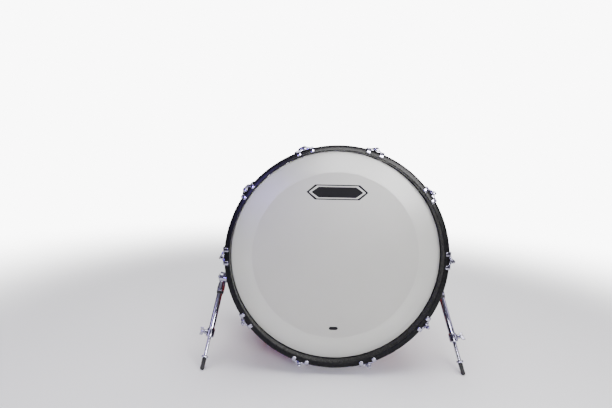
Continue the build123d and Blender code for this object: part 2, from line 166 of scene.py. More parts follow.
@dataclass(frozen=True)
class BlackLacquer:
    """Sprayed black lacquer over maple: deep satin black, a faint lighter grain, orange peel."""

    name: str = "black_lacquer_on_maple"
    colour: str = "0D0D0E"
    rubbed: str = "1E1B1A"
    roughness: float = 0.2
    roughness_spread: float = 0.1
    specular: float = 0.09
    coat: float = 0.05
    coat_roughness: float = 0.1
    hoop_radius_mm: float = 285.0
    grain_width_mm: float = 1.6
    grain_length_mm: float = 60.0
    peel_size_mm: float = 3.0
    relief_mm: float = 0.06
    relief_strength: float = 0.08

    def build(self) -> bpy.types.Material:
        """Build the dark coat, whose grain runs round the hoop.

        Returns:
            The material.
        """
        material, tree, out = blank_material(self.name)
        point = add_node(tree, "ShaderNodeTexCoord").outputs["Object"]
        split = add_node(tree, "ShaderNodeSeparateXYZ", {"Vector": point})
        turn = add_node(tree, "ShaderNodeMath", {0: split.outputs["X"], 1: split.outputs["Z"]},
                        operation="ARCTAN2")
        flat = add_node(tree, "ShaderNodeCombineXYZ", {"X": split.outputs["X"], "Z": split.outputs["Z"]})
        radius = add_node(tree, "ShaderNodeVectorMath", {0: flat.outputs["Vector"]}, operation="LENGTH")
        along = add_node(tree, "ShaderNodeMath",
                         {0: turn.outputs[0], 1: self.hoop_radius_mm / self.grain_length_mm},
                         operation="MULTIPLY")
        across = add_node(tree, "ShaderNodeMath",
                          {0: split.outputs["Y"], 1: per_mm(self.grain_width_mm)}, operation="MULTIPLY")
        depth = add_node(tree, "ShaderNodeMath",
                         {0: radius.outputs["Value"], 1: per_mm(self.grain_width_mm)},
                         operation="MULTIPLY")
        laid = add_node(tree, "ShaderNodeCombineXYZ",
                        {"X": along.outputs[0], "Y": across.outputs[0], "Z": depth.outputs[0]})
        grain = add_node(tree, "ShaderNodeTexNoise",
                         {"Vector": laid.outputs[0], "Scale": 1.0, "Detail": 3.0, "Roughness": 0.6})
        peel = add_node(tree, "ShaderNodeTexNoise",
                        {"Vector": point, "Scale": per_mm(self.peel_size_mm), "Detail": 1.0})
        tone = add_node(tree, "ShaderNodeMapRange",
                        {"Value": grain.outputs["Fac"], "From Min": 0.5, "From Max": 0.9,
                         "To Min": 0.0, "To Max": 0.6})
        colour = add_node(tree, "ShaderNodeMix",
                          {0: tone.outputs["Result"], 6: linear(self.colour), 7: linear(self.rubbed)},
                          data_type="RGBA")
        rough = add_node(tree, "ShaderNodeMapRange",
                         {"Value": peel.outputs["Fac"], "From Min": 0.3, "From Max": 0.7,
                          "To Min": self.roughness,
                          "To Max": self.roughness + self.roughness_spread})
        height = add_node(tree, "ShaderNodeMath",
                          {0: grain.outputs["Fac"], 1: peel.outputs["Fac"]}, operation="ADD")
        bump = add_node(tree, "ShaderNodeBump",
                        {"Height": height.outputs[0], "Strength": self.relief_strength,
                         "Distance": self.relief_mm * MM})
        coat = add_node(tree, "ShaderNodeBsdfPrincipled",
                        {"Base Color": colour.outputs[2], "Roughness": rough.outputs["Result"],
                         "IOR": 1.5, "Specular IOR Level": self.specular, "Coat Weight": self.coat,
                         "Coat Roughness": self.coat_roughness, "Normal": bump.outputs["Normal"]})
        tree.links.new(coat.outputs[0], out.inputs["Surface"])
        return material


@dataclass(frozen=True)
class SparkleWrap:
    """Plastic wrap with metal flakes under clear acrylic: deep red, glinting flake by flake."""

    name: str = "red_sparkle_wrap"
    base: str = "A0000E"
    flake: str = "E01824"
    shadow: str = "4C0006"
    flake_size_mm: float = 1.5      # drawn coarser than the real 0.6 mm so that it shows
    tilt: float = 0.42
    metallic: float = 0.72
    roughness: float = 0.3
    coat_roughness: float = 0.03
    coat_ior: float = 1.49

    def build(self) -> bpy.types.Material:
        """Build the flakes, of random colours and tilts, under a smooth gloss coat.

        Returns:
            The material.
        """
        material, tree, out = blank_material(self.name)
        point = add_node(tree, "ShaderNodeTexCoord").outputs["Object"]
        cells = add_node(tree, "ShaderNodeTexVoronoi",
                         {"Vector": point, "Scale": per_mm(self.flake_size_mm), "Randomness": 1.0})
        parts = add_node(tree, "ShaderNodeSeparateColor", {"Color": cells.outputs["Color"]})
        ramp = add_node(tree, "ShaderNodeValToRGB", {"Fac": parts.outputs["Red"]})
        stops = ramp.color_ramp.elements
        stops[0].color = linear(self.shadow)
        stops[1].color = linear(self.flake)
        stops.new(0.45).color = linear(self.base)
        stops.new(0.86).color = linear(self.base)
        geometry = add_node(tree, "ShaderNodeNewGeometry")
        centred = add_node(tree, "ShaderNodeVectorMath",
                           {0: cells.outputs["Color"], 1: (0.5, 0.5, 0.5)}, operation="SUBTRACT")
        scaled = add_node(tree, "ShaderNodeVectorMath",
                          {0: centred.outputs[0], "Scale": self.tilt}, operation="SCALE")
        leaned = add_node(tree, "ShaderNodeVectorMath",
                          {0: geometry.outputs["Normal"], 1: scaled.outputs[0]}, operation="ADD")
        normal = add_node(tree, "ShaderNodeVectorMath", {0: leaned.outputs[0]}, operation="NORMALIZE")
        wrap = add_node(tree, "ShaderNodeBsdfPrincipled",
                        {"Base Color": ramp.outputs["Color"], "Metallic": self.metallic,
                         "Roughness": self.roughness, "Normal": normal.outputs[0], "Coat Weight": 1.0,
                         "Coat Roughness": self.coat_roughness, "Coat IOR": self.coat_ior})
        tree.links.new(wrap.outputs[0], out.inputs["Surface"])
        return material


@dataclass(frozen=True)
class CoatedFilm:
    """Sprayed coating on polyester film: eggshell off-white, paler where a ring backs it."""

    name: str = "coated_polyester_film"
    centre: str = "A6A69C"
    backed: str = "B4B5AA"
    ring_inner_mm: float = 224.0
    ring_edge_mm: float = 1.5
    grain_size_mm: float = 0.9
    cloud_size_mm: float = 120.0
    rough_centre: float = 0.34
    rough_backed: float = 0.22
    rough_spread: float = 0.06
    ior: float = 1.57
    relief_mm: float = 0.06
    relief_strength: float = 0.2

    def build(self) -> bpy.types.Material:
        """Build the film: two tones split at the ring's edge, with a fine sprayed grain.

        Returns:
            The material.
        """
        material, tree, out = blank_material(self.name)
        point = add_node(tree, "ShaderNodeTexCoord").outputs["Object"]
        split = add_node(tree, "ShaderNodeSeparateXYZ", {"Vector": point})
        flat = add_node(tree, "ShaderNodeCombineXYZ", {"X": split.outputs["X"], "Z": split.outputs["Z"]})
        radius = add_node(tree, "ShaderNodeVectorMath", {0: flat.outputs["Vector"]}, operation="LENGTH")
        band = add_node(tree, "ShaderNodeMapRange",
                        {"Value": radius.outputs["Value"],
                         "From Min": (self.ring_inner_mm - self.ring_edge_mm) * MM,
                         "From Max": (self.ring_inner_mm + self.ring_edge_mm) * MM,
                         "To Min": 0.0, "To Max": 1.0})
        tone = add_node(tree, "ShaderNodeMix",
                        {0: band.outputs["Result"], 6: linear(self.centre), 7: linear(self.backed)},
                        data_type="RGBA")
        cloud = add_node(tree, "ShaderNodeTexNoise",
                         {"Vector": point, "Scale": per_mm(self.cloud_size_mm), "Detail": 3.0})
        shade = add_node(tree, "ShaderNodeMapRange",
                         {"Value": cloud.outputs["Fac"], "From Min": 0.3, "From Max": 0.7,
                          "To Min": 0.965, "To Max": 1.02})
        colour = add_node(tree, "ShaderNodeVectorMath",
                          {0: tone.outputs[2], "Scale": shade.outputs["Result"]}, operation="SCALE")
        spray = add_node(tree, "ShaderNodeTexNoise",
                         {"Vector": point, "Scale": per_mm(self.grain_size_mm), "Detail": 2.0})
        bump = add_node(tree, "ShaderNodeBump",
                        {"Height": spray.outputs["Fac"], "Strength": self.relief_strength,
                         "Distance": self.relief_mm * MM})
        gloss = add_node(tree, "ShaderNodeMapRange",
                         {"Value": band.outputs["Result"], "To Min": self.rough_centre,
                          "To Max": self.rough_backed})
        rough = add_node(tree, "ShaderNodeMath",
                         {0: spray.outputs["Fac"], 1: self.rough_spread, 2: gloss.outputs["Result"]},
                         operation="MULTIPLY_ADD")
        film = add_node(tree, "ShaderNodeBsdfPrincipled",
                        {"Base Color": colour.outputs[0], "Roughness": rough.outputs[0],
                         "IOR": self.ior, "Normal": bump.outputs["Normal"]})
        tree.links.new(film.outputs[0], out.inputs["Surface"])
        return material


@dataclass(frozen=True)
class GrainedSurface:
    """A plain material with one grain: it varies the colour, the roughness and the relief."""

    name: str
    colour: str
    second: str
    roughness: float
    grain_mm: tuple[float, float, float]
    metallic: float = 0.0
    ior: float = 1.5
    specular: float = 0.5
    relief_mm: float = 0.05
    relief_strength: float = 0.2

    def build(self) -> bpy.types.Material:
        """Build the surface, whose colour and roughness follow one stretched noise.

        Returns:
            The material.
        """
        material, tree, out = blank_material(self.name)
        scale = tuple(per_mm(size) for size in self.grain_mm)
        point = add_node(tree, "ShaderNodeTexCoord").outputs["Object"]
        laid = add_node(tree, "ShaderNodeMapping", {"Vector": point, "Scale": scale})
        grain = add_node(tree, "ShaderNodeTexNoise",
                         {"Vector": laid.outputs[0], "Scale": 1.0, "Detail": 4.0, "Roughness": 0.6})
        colour = add_node(tree, "ShaderNodeMix",
                          {0: grain.outputs["Fac"], 6: linear(self.colour), 7: linear(self.second)},
                          data_type="RGBA")
        rough = add_node(tree, "ShaderNodeMapRange",
                         {"Value": grain.outputs["Fac"], "From Min": 0.3, "From Max": 0.7,
                          "To Min": self.roughness * 0.85, "To Max": min(1.0, self.roughness * 1.2)})
        bump = add_node(tree, "ShaderNodeBump",
                        {"Height": grain.outputs["Fac"], "Strength": self.relief_strength,
                         "Distance": self.relief_mm * MM})
        body = add_node(tree, "ShaderNodeBsdfPrincipled",
                        {"Base Color": colour.outputs[2], "Roughness": rough.outputs["Result"],
                         "Metallic": self.metallic, "IOR": self.ior,
                         "Specular IOR Level": self.specular,
                         "Normal": bump.outputs["Normal"]})
        tree.links.new(body.outputs[0], out.inputs["Surface"])
        return material


class Finish(Enum):
    """Every finish on the drum, named for what it is."""

    CHROME = ChromePlate()
    LACQUER = BlackLacquer()
    WRAP = SparkleWrap()
    FILM = CoatedFilm()
    # Rolled aluminium channel: grey, streaked along its length, half matt.
    ALUMINIUM = GrainedSurface("rolled_aluminium", "A9ABAE", "C4C6C8", 0.34, (6.0, 0.4, 6.0), 1.0)
    # Bright zinc on small steel hardware: pale, slightly blue, softly mottled.
    ZINC = GrainedSurface("zinc_plated_steel", "9C9EA3", "B9BBC0", 0.32, (3.0, 3.0, 3.0), 1.0)
    # Moulded natural rubber: near black, matt, faintly pored.
    RUBBER = GrainedSurface("moulded_rubber", "161616", "242423", 0.72, (0.8, 0.8, 0.8), ior=1.52,
                            relief_mm=0.12, relief_strength=0.35)
    # Moulded nylon: black with a soft sheen.
    NYLON = GrainedSurface("moulded_nylon", "111113", "1C1C1F", 0.42, (1.2, 1.2, 1.2), ior=1.53)
    # Sealed maple ply: pale brown grain running round the shell.
    MAPLE = GrainedSurface("sealed_maple_ply", "B98A58", "D7B184", 0.5, (40.0, 1.8, 40.0))
    # Frosted film ring: milky white and matt.
    FROSTED = GrainedSurface("frosted_film", "D4D5D4", "DEDFDE", 0.6, (1.0, 1.0, 1.0), ior=1.57)
    # Screen-printed ink: flat black with a slightly uneven lay.
    INK = GrainedSurface("screen_printed_ink", "060607", "101012", 0.6, (1.5, 1.5, 1.5),
                         relief_mm=0.02, specular=0.15)


class Palette:
    """Builds each finish once and hands it out."""

    def __init__(self) -> None:
        """Start with nothing built."""
        self.built: dict[Finish, bpy.types.Material] = {}

    def get(self, finish: Finish) -> bpy.types.Material:
        """Return the material of a finish, building it the first time."""
        if finish not in self.built:
            self.built[finish] = finish.value.build()
        return self.built[finish]


PALETTE = Palette()
SLOT_FINISH = {
    "chrome": Finish.CHROME, "black_lacquer": Finish.LACQUER, "red_sparkle_wrap": Finish.WRAP,
    "coated_film": Finish.FILM, "clear_film": Finish.FROSTED, "bare_aluminium": Finish.ALUMINIUM,
    "plain_steel": Finish.ZINC, "black_rubber": Finish.RUBBER, "black_plastic": Finish.NYLON,
    "shell_wood": Finish.MAPLE,
}


# ---- mesh helpers: every shape is drawn in millimetres --------------------------------------


@dataclass
class Mesh:
    """Points and faces of a piece in the making, in millimetres."""

    points: list[Vector] = field(default_factory=list)
    faces: list[tuple[int, ...]] = field(default_factory=list)

    def add(self, other: "Mesh") -> "Mesh":
        """Take in another mesh.

        Args:
            other: the mesh whose points and faces are added.

        Returns:
            This mesh.
        """
        start = len(self.points)
        self.points += other.points
        self.faces += [tuple(start + i for i in face) for face in other.faces]
        return self

    def moved(self, matrix: Matrix) -> "Mesh":
        """Return a copy moved by a matrix in millimetres."""
        return Mesh([matrix @ p for p in self.points], list(self.faces))

    def shaped(self, change: Callable[[Vector], Vector]) -> "Mesh":
        """Return a copy with every point passed through a function."""
        return Mesh([change(p) for p in self.points], list(self.faces))


def rounded(corners: list[tuple[float, float, float]], steps: int = 5) -> list[Point]:
    """Round the corners of a closed outline.

    Args:
        corners: x, y and corner radius of each point, in order.
        steps: straight pieces in each rounded corner.

    Returns:
        The outline's points.
    """
    outline: list[Point] = []
    count = len(corners)
    for i, (x, y, radius) in enumerate(corners):
        here = Vector((x, y))
        back = Vector(corners[i - 1][:2]) - here
        ahead = Vector(corners[(i + 1) % count][:2]) - here
        if radius <= 0:
            outline.append((x, y))
            continue
        half = back.angle(ahead) / 2
        reach = min(radius / math.tan(half), 0.49 * back.length, 0.49 * ahead.length)
        bend = reach * math.tan(half)
        middle = here + (back.normalized() + ahead.normalized()).normalized() * (bend / math.sin(half))
        first = here + back.normalized() * reach - middle
        last = here + ahead.normalized() * reach - middle
        sweep = first.angle_signed(last)
        for k in range(steps + 1):
            turn = Matrix.Rotation(-sweep * k / steps, 2)
            spot = middle + turn @ first
            outline.append((spot.x, spot.y))
    return outline


def lathe(profile: list[Point], segments: int = 96, ripple: Callable[[float], float] | None = None,
          closed: bool = True) -> Mesh:
    """Turn a profile about the Y axis.

    Args:
        profile: radius and height points; an open one starts and ends on the axis.
        segments: flats round the axis.
        ripple: gives a factor on the radius for an angle, for knurls.
        closed: whether the profile's last point joins its first.

    Returns:
        The turned mesh.
    """
    mesh = Mesh()
    count = len(profile)
    rings: list[list[int]] = []
    for radius, height in profile:
        if radius < 1e-6:
            mesh.points.append(Vector((0, height, 0)))
            rings.append([len(mesh.points) - 1] * segments)
            continue
        start = len(mesh.points)
        for s in range(segments):
            angle = 2 * math.pi * s / segments
            r = radius * (ripple(angle) if ripple else 1.0)
            mesh.points.append(Vector((r * math.sin(angle), height, r * math.cos(angle))))
        rings.append(list(range(start, start + segments)))
    for i in range(count if closed else count - 1):
        low, high = rings[i], rings[(i + 1) % count]
        for s in range(segments):
            t = (s + 1) % segments
            face = tuple(dict.fromkeys((low[s], low[t], high[t], high[s])))
            if len(face) > 2:
                mesh.faces.append(face)
    return mesh


def loft(rings: list[list[Vector]]) -> Mesh:
    """Skin a row of rings and close both ends.

    Args:
        rings: loops of points, each with the same number of points.

    Returns:
        The closed skin.
    """
    mesh = Mesh()
    size = len(rings[0])
    for ring in rings:
        mesh.points += ring
    for i in range(len(rings) - 1):
        for k in range(size):
            n = (k + 1) % size
            mesh.faces.append((i * size + k, i * size + n, (i + 1) * size + n, (i + 1) * size + k))
    mesh.faces.append(tuple(range(size))[::-1])
    mesh.faces.append(tuple((len(rings) - 1) * size + k for k in range(size)))
    return mesh


@dataclass
class Section:
    """A rounded-rectangle cross-section: half width, low and high sides, corner radii."""

    half: float
    low: float
    high: float
    corner: float = 1.0
    low_corner: float | None = None

    def loop(self, inset: float = 0.0, keep_low: bool = False) -> list[Point]:
        """Return the section's points, drawn in by an inset.

        Args:
            inset: how far every side moves in.
            keep_low: whether the low side stays where it is.

        Returns:
            The closed loop's points.
        """
        low = self.low if keep_low else self.low + inset
        half, high = max(self.half - inset, 0.05), max(self.high - inset, low + 0.05)
        limit = 0.98 * min(half, (high - low) / 2)
        top = min(max(self.corner - inset, 0.15), limit)
        under = min(max((self.corner if self.low_corner is None else self.low_corner) - inset, 0.05),
                    limit)
        return rounded([(-half, low, under), (half, low, under), (half, high, top), (-half, high, top)])


def rolled(start: float, end: float, shape: Callable[[float], Section], roll: float, place: Placer,
           stations: int = 10, keep_low: bool = False) -> Mesh:
    """Loft a changing section between two stations, with both ends rolled over.

    Args:
        start: first station.
        end: last station.
        shape: gives the section at a station.
        roll: radius of the rolled ends.
        place: turns across, up and along into a point.
        stations: plain sections between the rolled ends.
        keep_low: whether the ends leave the low side alone.

    Returns:
        The lofted mesh.
    """
    steps = 4
    spots: list[tuple[float, float]] = []
    for k in range(steps + 1):
        angle = math.pi / 2 * k / steps
        spots.append((start + roll * (1 - math.cos(angle)), roll * (1 - math.sin(angle))))
    inner = end - start - 2 * roll
    spots += [(start + roll + inner * i / stations, 0.0) for i in range(1, stations)]
    for k in range(steps, -1, -1):
        angle = math.pi / 2 * k / steps
        spots.append((end - roll * (1 - math.cos(angle)), roll * (1 - math.sin(angle))))
    rings = [[place(u, v, s) for u, v in shape(s).loop(inset, keep_low)] for s, inset in spots]
    return loft(rings)


def along(axis: str) -> Matrix:
    """Matrix that lays a shape turned about Y along another axis."""
    turns = {"x": Matrix.Rotation(-math.pi / 2, 4, "Z"), "y": Matrix.Identity(4),
             "z": Matrix.Rotation(math.pi / 2, 4, "X")}
    return turns[axis]


def shift(x: float = 0.0, y: float = 0.0, z: float = 0.0) -> Matrix:
    """Matrix that moves by x, y and z millimetres."""
    return Matrix.Translation((x, y, z))


def to_data(name: str, mesh: Mesh, finish: Finish, sharp_deg: float = 35.0) -> bpy.types.Mesh:
    """Turn a mesh in millimetres into Blender mesh data in metres.

    Args:
        name: the data's name.
        mesh: points and faces.
        finish: the finish it gets.
        sharp_deg: edges that bend more than this stay crisp.

    Returns:
        Mesh data with consistent normals, smooth shading and its material.
    """
    data = bpy.data.meshes.new(name)
    data.from_pydata([tuple(p * MM) for p in mesh.points], [], mesh.faces)
    data.validate()
    work = bmesh.new()
    work.from_mesh(data)
    bmesh.ops.remove_doubles(work, verts=work.verts, dist=1e-7)
    bmesh.ops.recalc_face_normals(work, faces=work.faces)
    work.to_mesh(data)
    work.free()
    data.shade_smooth()
    data.set_sharp_from_angle(angle=math.radians(sharp_deg))
    data.materials.append(PALETTE.get(finish))
    return data


def put(name: str, data: bpy.types.Mesh, matrix: Matrix, body: str, slot: str,
        *nodes: str) -> bpy.types.Object:
    """Place one finished piece on the drum.

    Args:
        name: the piece's name.
        data: its mesh.
        matrix: its place, in metres.
        body: the body that it rides on.
        slot: the record's material slot; not used.
        nodes: the plain pieces that it stands for.

    Returns:
        The placed object.
    """
    piece = bpy.data.objects.new(name, data)
    bpy.context.scene.collection.objects.link(piece)
    piece.matrix_world = matrix
    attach(piece, body)
    if nodes:
        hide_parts(*nodes)
    return piece


# ---- where things are, read from the frame -----------------------------------------------------


@dataclass
class Extent:
    """Lowest and highest x, y and z of something, in millimetres, in a chosen frame."""

    low: Vector
    high: Vector

    @property
    def size(self) -> Vector:
        """Return the extent's size."""
        return self.high - self.low

    @property
    def middle(self) -> Vector:
        """Return the extent's middle."""
        return (self.high + self.low) / 2


class Place:
    """A frame on the drum: turns its own millimetres into the scene's metres."""

    def __init__(self, origin: Vector, x: Vector, y: Vector, z: Vector) -> None:
        """Keep the frame and its inverse.

        Args:
            origin: the frame's origin, in metres.
            x: its first axis, of unit length.
            y: its second axis.
            z: its third axis.
        """
        turn = Matrix((x, y, z)).transposed().to_4x4()
        self.matrix = Matrix.Translation(origin) @ turn
        self.inverse = self.matrix.inverted()

    def points(self, node: str) -> list[Vector]:
        """Return a node's points in this frame, in millimetres."""
        return [(self.inverse @ v.co) / MM for v in frame["nodes"][node].data.vertices]

    def extent(self, node: str, near: Callable[[Vector], bool] | None = None) -> Extent:
        """Measure how far a node reaches in this frame.

        Args:
            node: the node's name.
            near: keeps only some of its points.

        Returns:
            The extent, in millimetres.
        """
        points = [p for p in self.points(node) if near is None or near(p)]
        return Extent(Vector([min(p[i] for p in points) for i in range(3)]),
                      Vector([max(p[i] for p in points) for i in range(3)]))

    def radii(self, node: str) -> tuple[float, float]:
        """Return a node's least and greatest distance from this frame's Y axis."""
        spread = [math.hypot(p.x, p.z) for p in self.points(node)]
        return min(spread), max(spread)


def joint(name: str) -> dict:
    """Return a joint of the frame by its name."""
    return next(j for j in frame["joints"] if j["name"] == name)


def drum_place() -> Place:
    """Find the drum's own frame, between its two hoops.

    Returns:
        The frame, with Y along the drum's axis towards the rear head.
    """
    boxes = [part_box("front_hoop"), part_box("rear_hoop")]
    centre = sum(((low + high) / 2 for low, high in boxes), Vector()) / 2
    y = Vector(joint("rear_rod_01_turn")["axis"]).normalized()
    x = Vector((1, 0, 0))
    return Place(centre, x, y, x.cross(y))


DRUM = drum_place()


class End(Enum):
    """The two ends of the drum: the turn about Z that puts a rear piece there."""

    REAR = 0.0
    FRONT = math.pi

    @property
    def word(self) -> str:
        """Return the end's name in lower case."""
        return self.name.lower()

    def matrix(self, degrees: float = 0.0) -> Matrix:
        """Find where a piece drawn at the top of the rear end goes.

        Args:
            degrees: the piece's angle round the axis.

        Returns:
            The piece's place, in metres.
        """
        turn = Matrix.Rotation(self.value, 4, "Z") @ Matrix.Rotation(math.radians(degrees), 4, "Y")
        return DRUM.matrix @ turn


LUG_ANGLES = [36.0 * i + 18.0 for i in range(10)]


# ---- shell ------------------------------------------------------------------------------------------


@dataclass
class Shell:
    """The drum's barrel: ply shell, sparkle wrap with its lap seam, and the vent's eyelet."""

    seam_width: float = 14.0
    seam_rise: float = 0.25
    seam_angle: float = 180.0
    lip: float = 0.2
    eyelet_roll: float = 1.1

    def wrap_mesh(self) -> Mesh:
        """Turn the wrap's sleeve and step it up along its lap seam.

        Returns:
            The wrap, drawn about the drum's axis.
        """
        inner, outer = DRUM.radii("shell_wrap")
        reach = DRUM.extent("shell_wrap").high.y
        skin = outer - self.seam_rise
        profile = rounded([(inner, -reach, 0), (skin, -reach, self.lip),
                           (skin, reach, self.lip), (inner, reach, 0)])
        half = math.degrees(self.seam_width / 2 / outer)

        def lift(point: Vector) -> Vector:
            """Raise the outer skin under the lap.

            Args:
                point: one point of the sleeve.

            Returns:
                The point, moved out if it lies in the lap.
            """
            angle = math.degrees(math.atan2(point.x, point.z)) % 360
            away = abs(angle - self.seam_angle)
            radius = math.hypot(point.x, point.z)
            if away > half or radius < skin - self.lip:
                return point
            factor = (radius + self.seam_rise) / radius
            return Vector((point.x * factor, point.y, point.z * factor))

        return lathe(profile, 480).shaped(lift)

    def eyelet_mesh(self) -> Mesh:
        """Turn the vent's rolled eyelet.

        Returns:
            The eyelet, with its outside at the top.
        """
        box = DRUM.extent("vent_grommet")
        bore = min(math.hypot(p.x, p.y) for p in DRUM.points("vent_grommet"))
        flange = box.size.x / 2
        under = DRUM.radii("shell_wrap")[1] - 0.15
        roll = self.eyelet_roll
        profile = rounded([(bore, box.low.z, 0.4), (flange * 0.8, box.low.z, 0.4),
                           (flange * 0.8, box.low.z + 1.0, 0.3), (bore + 0.9, box.low.z + 1.2, 0.3),
                           (bore + 0.9, under, 0.2), (flange, under, 0.1),
                           (flange, box.high.z - 0.9, roll), (flange * 0.72, box.high.z, roll),
                           (bore, box.high.z, roll)])
        return lathe(profile, 64).moved(Matrix.Rotation(math.pi / 2, 4, "X"))

    def build(self) -> None:
        """Dress the shell and place its wrap and eyelet."""
        put("wrap", to_data("wrap", self.wrap_mesh(), Finish.WRAP), DRUM.matrix, "drum",
            "red_sparkle_wrap", "shell_wrap")
        put("vent_eyelet", to_data("vent_eyelet", self.eyelet_mesh(), Finish.CHROME), DRUM.matrix,
            "drum", "chrome", "vent_grommet")
        log.info("shell: wrap and vent eyelet")


# ---- heads and hoops ------------------------------------------------------------------------------------


@dataclass
class PlayingHead:
    """One head: film rolled over the bearing edge, and its rolled aluminium flesh hoop."""

    end: End
    thick: float = 0.4
    bend_radius: float = 2.2
    skirt: float = 12.0
    rings: tuple[float, ...] = (40.0, 100.0, 160.0, 210.0, 250.0)
    bead: float = 1.3

    def film_mesh(self) -> Mesh:
        """Turn the film: its face, rolled edge and collar.

        Returns:
            The film, drawn at the rear end.
        """
        node = f"{self.end.word}_head"
        outer = DRUM.radii(node)[1]
        box = DRUM.extent(node)
        reach = max(abs(box.low.y), abs(box.high.y))
        foot = min(abs(box.low.y), abs(box.high.y))
        thick, bend, rim = self.thick, self.bend_radius, outer - self.skirt
        corners = rounded([(rim, reach - thick, 0), (outer - thick, reach - thick, bend - thick),
                           (outer - thick, foot, 0), (outer, foot, 0), (outer, reach, bend),
                           (rim, reach, 0)], 8)
        face = [(0.0, reach)] + [(r, reach) for r in self.rings]
        back = [(r, reach - thick) for r in self.rings[::-1]] + [(0.0, reach - thick)]
        return lathe(back[::-1] + corners + face[::-1], 256, closed=False)

    def flesh_mesh(self) -> Mesh:
        """Turn the flesh hoop, a rolled channel with a bead at its open edge.

        Returns:
            The flesh hoop, drawn at the rear end.
        """
        node = f"{self.end.word}_flesh_hoop"
        inner, outer = DRUM.radii(node)
        box = DRUM.extent(node)
        low, high = sorted((abs(box.low.y), abs(box.high.y)))
        bead = self.bead
        return lathe(rounded([(inner, low, 0.8), (outer, low, bead), (outer, low + 3.2, bead),
                              (outer - 0.8, low + 4.2, 0.6), (outer - 0.8, high - 2.6, 0.6),
                              (outer, high - 1.8, 0.8), (outer, high, 0.9), (inner, high, 0.6)]), 256)

    def build(self) -> None:
        """Place the film and its flesh hoop at this end."""
        word = self.end.word
        put(f"{word}_head_film", to_data("film", self.film_mesh(), Finish.FILM), self.end.matrix(),
            "drum", "coated_film", f"{word}_head")
        put(f"{word}_flesh_channel", to_data("flesh", self.flesh_mesh(), Finish.ALUMINIUM),
            self.end.matrix(), "drum", "bare_aluminium", f"{word}_flesh_hoop")
        log.info("%s head: film and flesh hoop", word)


@dataclass
class Counterhoop:
    """One lacquered maple hoop, with eased edges and a rabbet over the flesh hoop."""

    end: End
    outer_ease: float = 2.6
    inner_ease: float = 1.6
    back_ease: float = 1.4

    def mesh(self) -> Mesh:
        """Turn the hoop, with eased edges and its rabbet.

        Returns:
            The hoop, drawn at the rear end.
        """
        node = f"{self.end.word}_hoop"
        inner, outer = DRUM.radii(node)
        box = DRUM.extent(node)
        low, high = sorted((abs(box.low.y), abs(box.high.y)))
        lap = DRUM.radii(f"{self.end.word}_flesh_hoop")[1] + 0.25
        flesh = DRUM.extent(f"{self.end.word}_flesh_hoop")
        step = max(abs(flesh.low.y), abs(flesh.high.y)) + 0.05
        return lathe(rounded([(inner, step, 0.6), (lap, step, 0.3), (lap, low, 0.5),
                              (outer, low, self.back_ease), (outer, high, self.outer_ease),
                              (inner, high, self.inner_ease)], 6), 320)

    def build(self) -> None:
        """Place the hoop at this end."""
        word = self.end.word
        put(f"{word}_counterhoop", to_data("counterhoop", self.mesh(), Finish.LACQUER),
            self.end.matrix(), "drum", "black_lacquer", f"{word}_hoop")
        log.info("%s hoop", word)


@dataclass
class HeadPrint:
    """Plain printed ornament on the front head: a barred lozenge above and a small one below."""

    thickness: float = 0.05
    lift: float = 0.03
    upper_height: float = 171.0
    upper_half_width: float = 82.0
    upper_half_height: float = 20.0
    lower_height: float = -197.0
    lower_half_width: float = 13.0
    lower_half_height: float = 4.5
    line: float = 3.0

    def plate(self, outline: list[Point], hole: list[Point] | None = None) -> Mesh:
        """Make one flat piece of print.

        Args:
            outline: the outer edge, in x and z.
            hole: an inner edge with the same number of points.

        Returns:
            The print, with its back at Y 0.
        """
        mesh = Mesh()
        count = len(outline)
        for depth in (0.0, self.thickness):
            mesh.points += [Vector((x, depth, z)) for x, z in outline]
            mesh.points += [Vector((x, depth, z)) for x, z in (hole or [])]
        layer = count * (2 if hole else 1)
        if not hole:
            mesh.faces.append(tuple(range(count)))
            mesh.faces.append(tuple(range(layer, layer + count))[::-1])
        for k in range(count):
            n = (k + 1) % count
            mesh.faces.append((k, n, layer + n, layer + k))
            if hole:
                mesh.faces.append((count + n, count + k, layer + count + k, layer + count + n))
                mesh.faces.append((k, count + k, count + n, n))
                mesh.faces.append((layer + n, layer + count + n, layer + count + k, layer + k))
        return mesh

    def lozenge(self, half_width: float, half_height: float, inset: float, middle: float) -> list[Point]:
        """Draw a long lozenge with soft corners.

        Args:
            half_width: half of its full width.
            half_height: half of its full height.
            inset: how far its sides are drawn in.
            middle: height of its middle over the drum's axis.

        Returns:
            The outline's points, in x and z.
        """
        a, b = half_width - inset * 2.2, half_height - inset
        corners = [(-a, middle, 1.5), (-a * 0.72, middle + b, 4), (a * 0.72, middle + b, 4),
                   (a, middle, 1.5), (a * 0.72, middle - b, 4), (-a * 0.72, middle - b, 4)]
        return rounded(corners, 6)

    def mesh(self) -> Mesh:
        """Make both ornaments.

        Returns:
            The prints in one mesh.
        """
        wide, tall, line = self.upper_half_width, self.upper_half_height, self.line
        top, low = self.upper_height, self.lower_height
        mesh = self.plate(self.lozenge(wide, tall, 0, top), self.lozenge(wide, tall, line, top))
        mesh.add(self.plate(self.lozenge(wide, tall, line * 2, top)))
        mesh.add(self.plate(self.lozenge(self.lower_half_width, self.lower_half_height, 0, low)))
        return mesh

    def build(self) -> None:
        """Place the print just proud of the front head's film."""
        face = DRUM.extent("front_head").low.y
        matrix = DRUM.matrix @ Matrix.Translation((0, (face - self.lift - self.thickness) * MM, 0))
        put("front_head_print", to_data("head_print", self.mesh(), Finish.INK), matrix, "drum",
            "black_plastic")
        log.info("front head print")


# ---- lugs, claws and rods ------------------------------------------------------------------------------


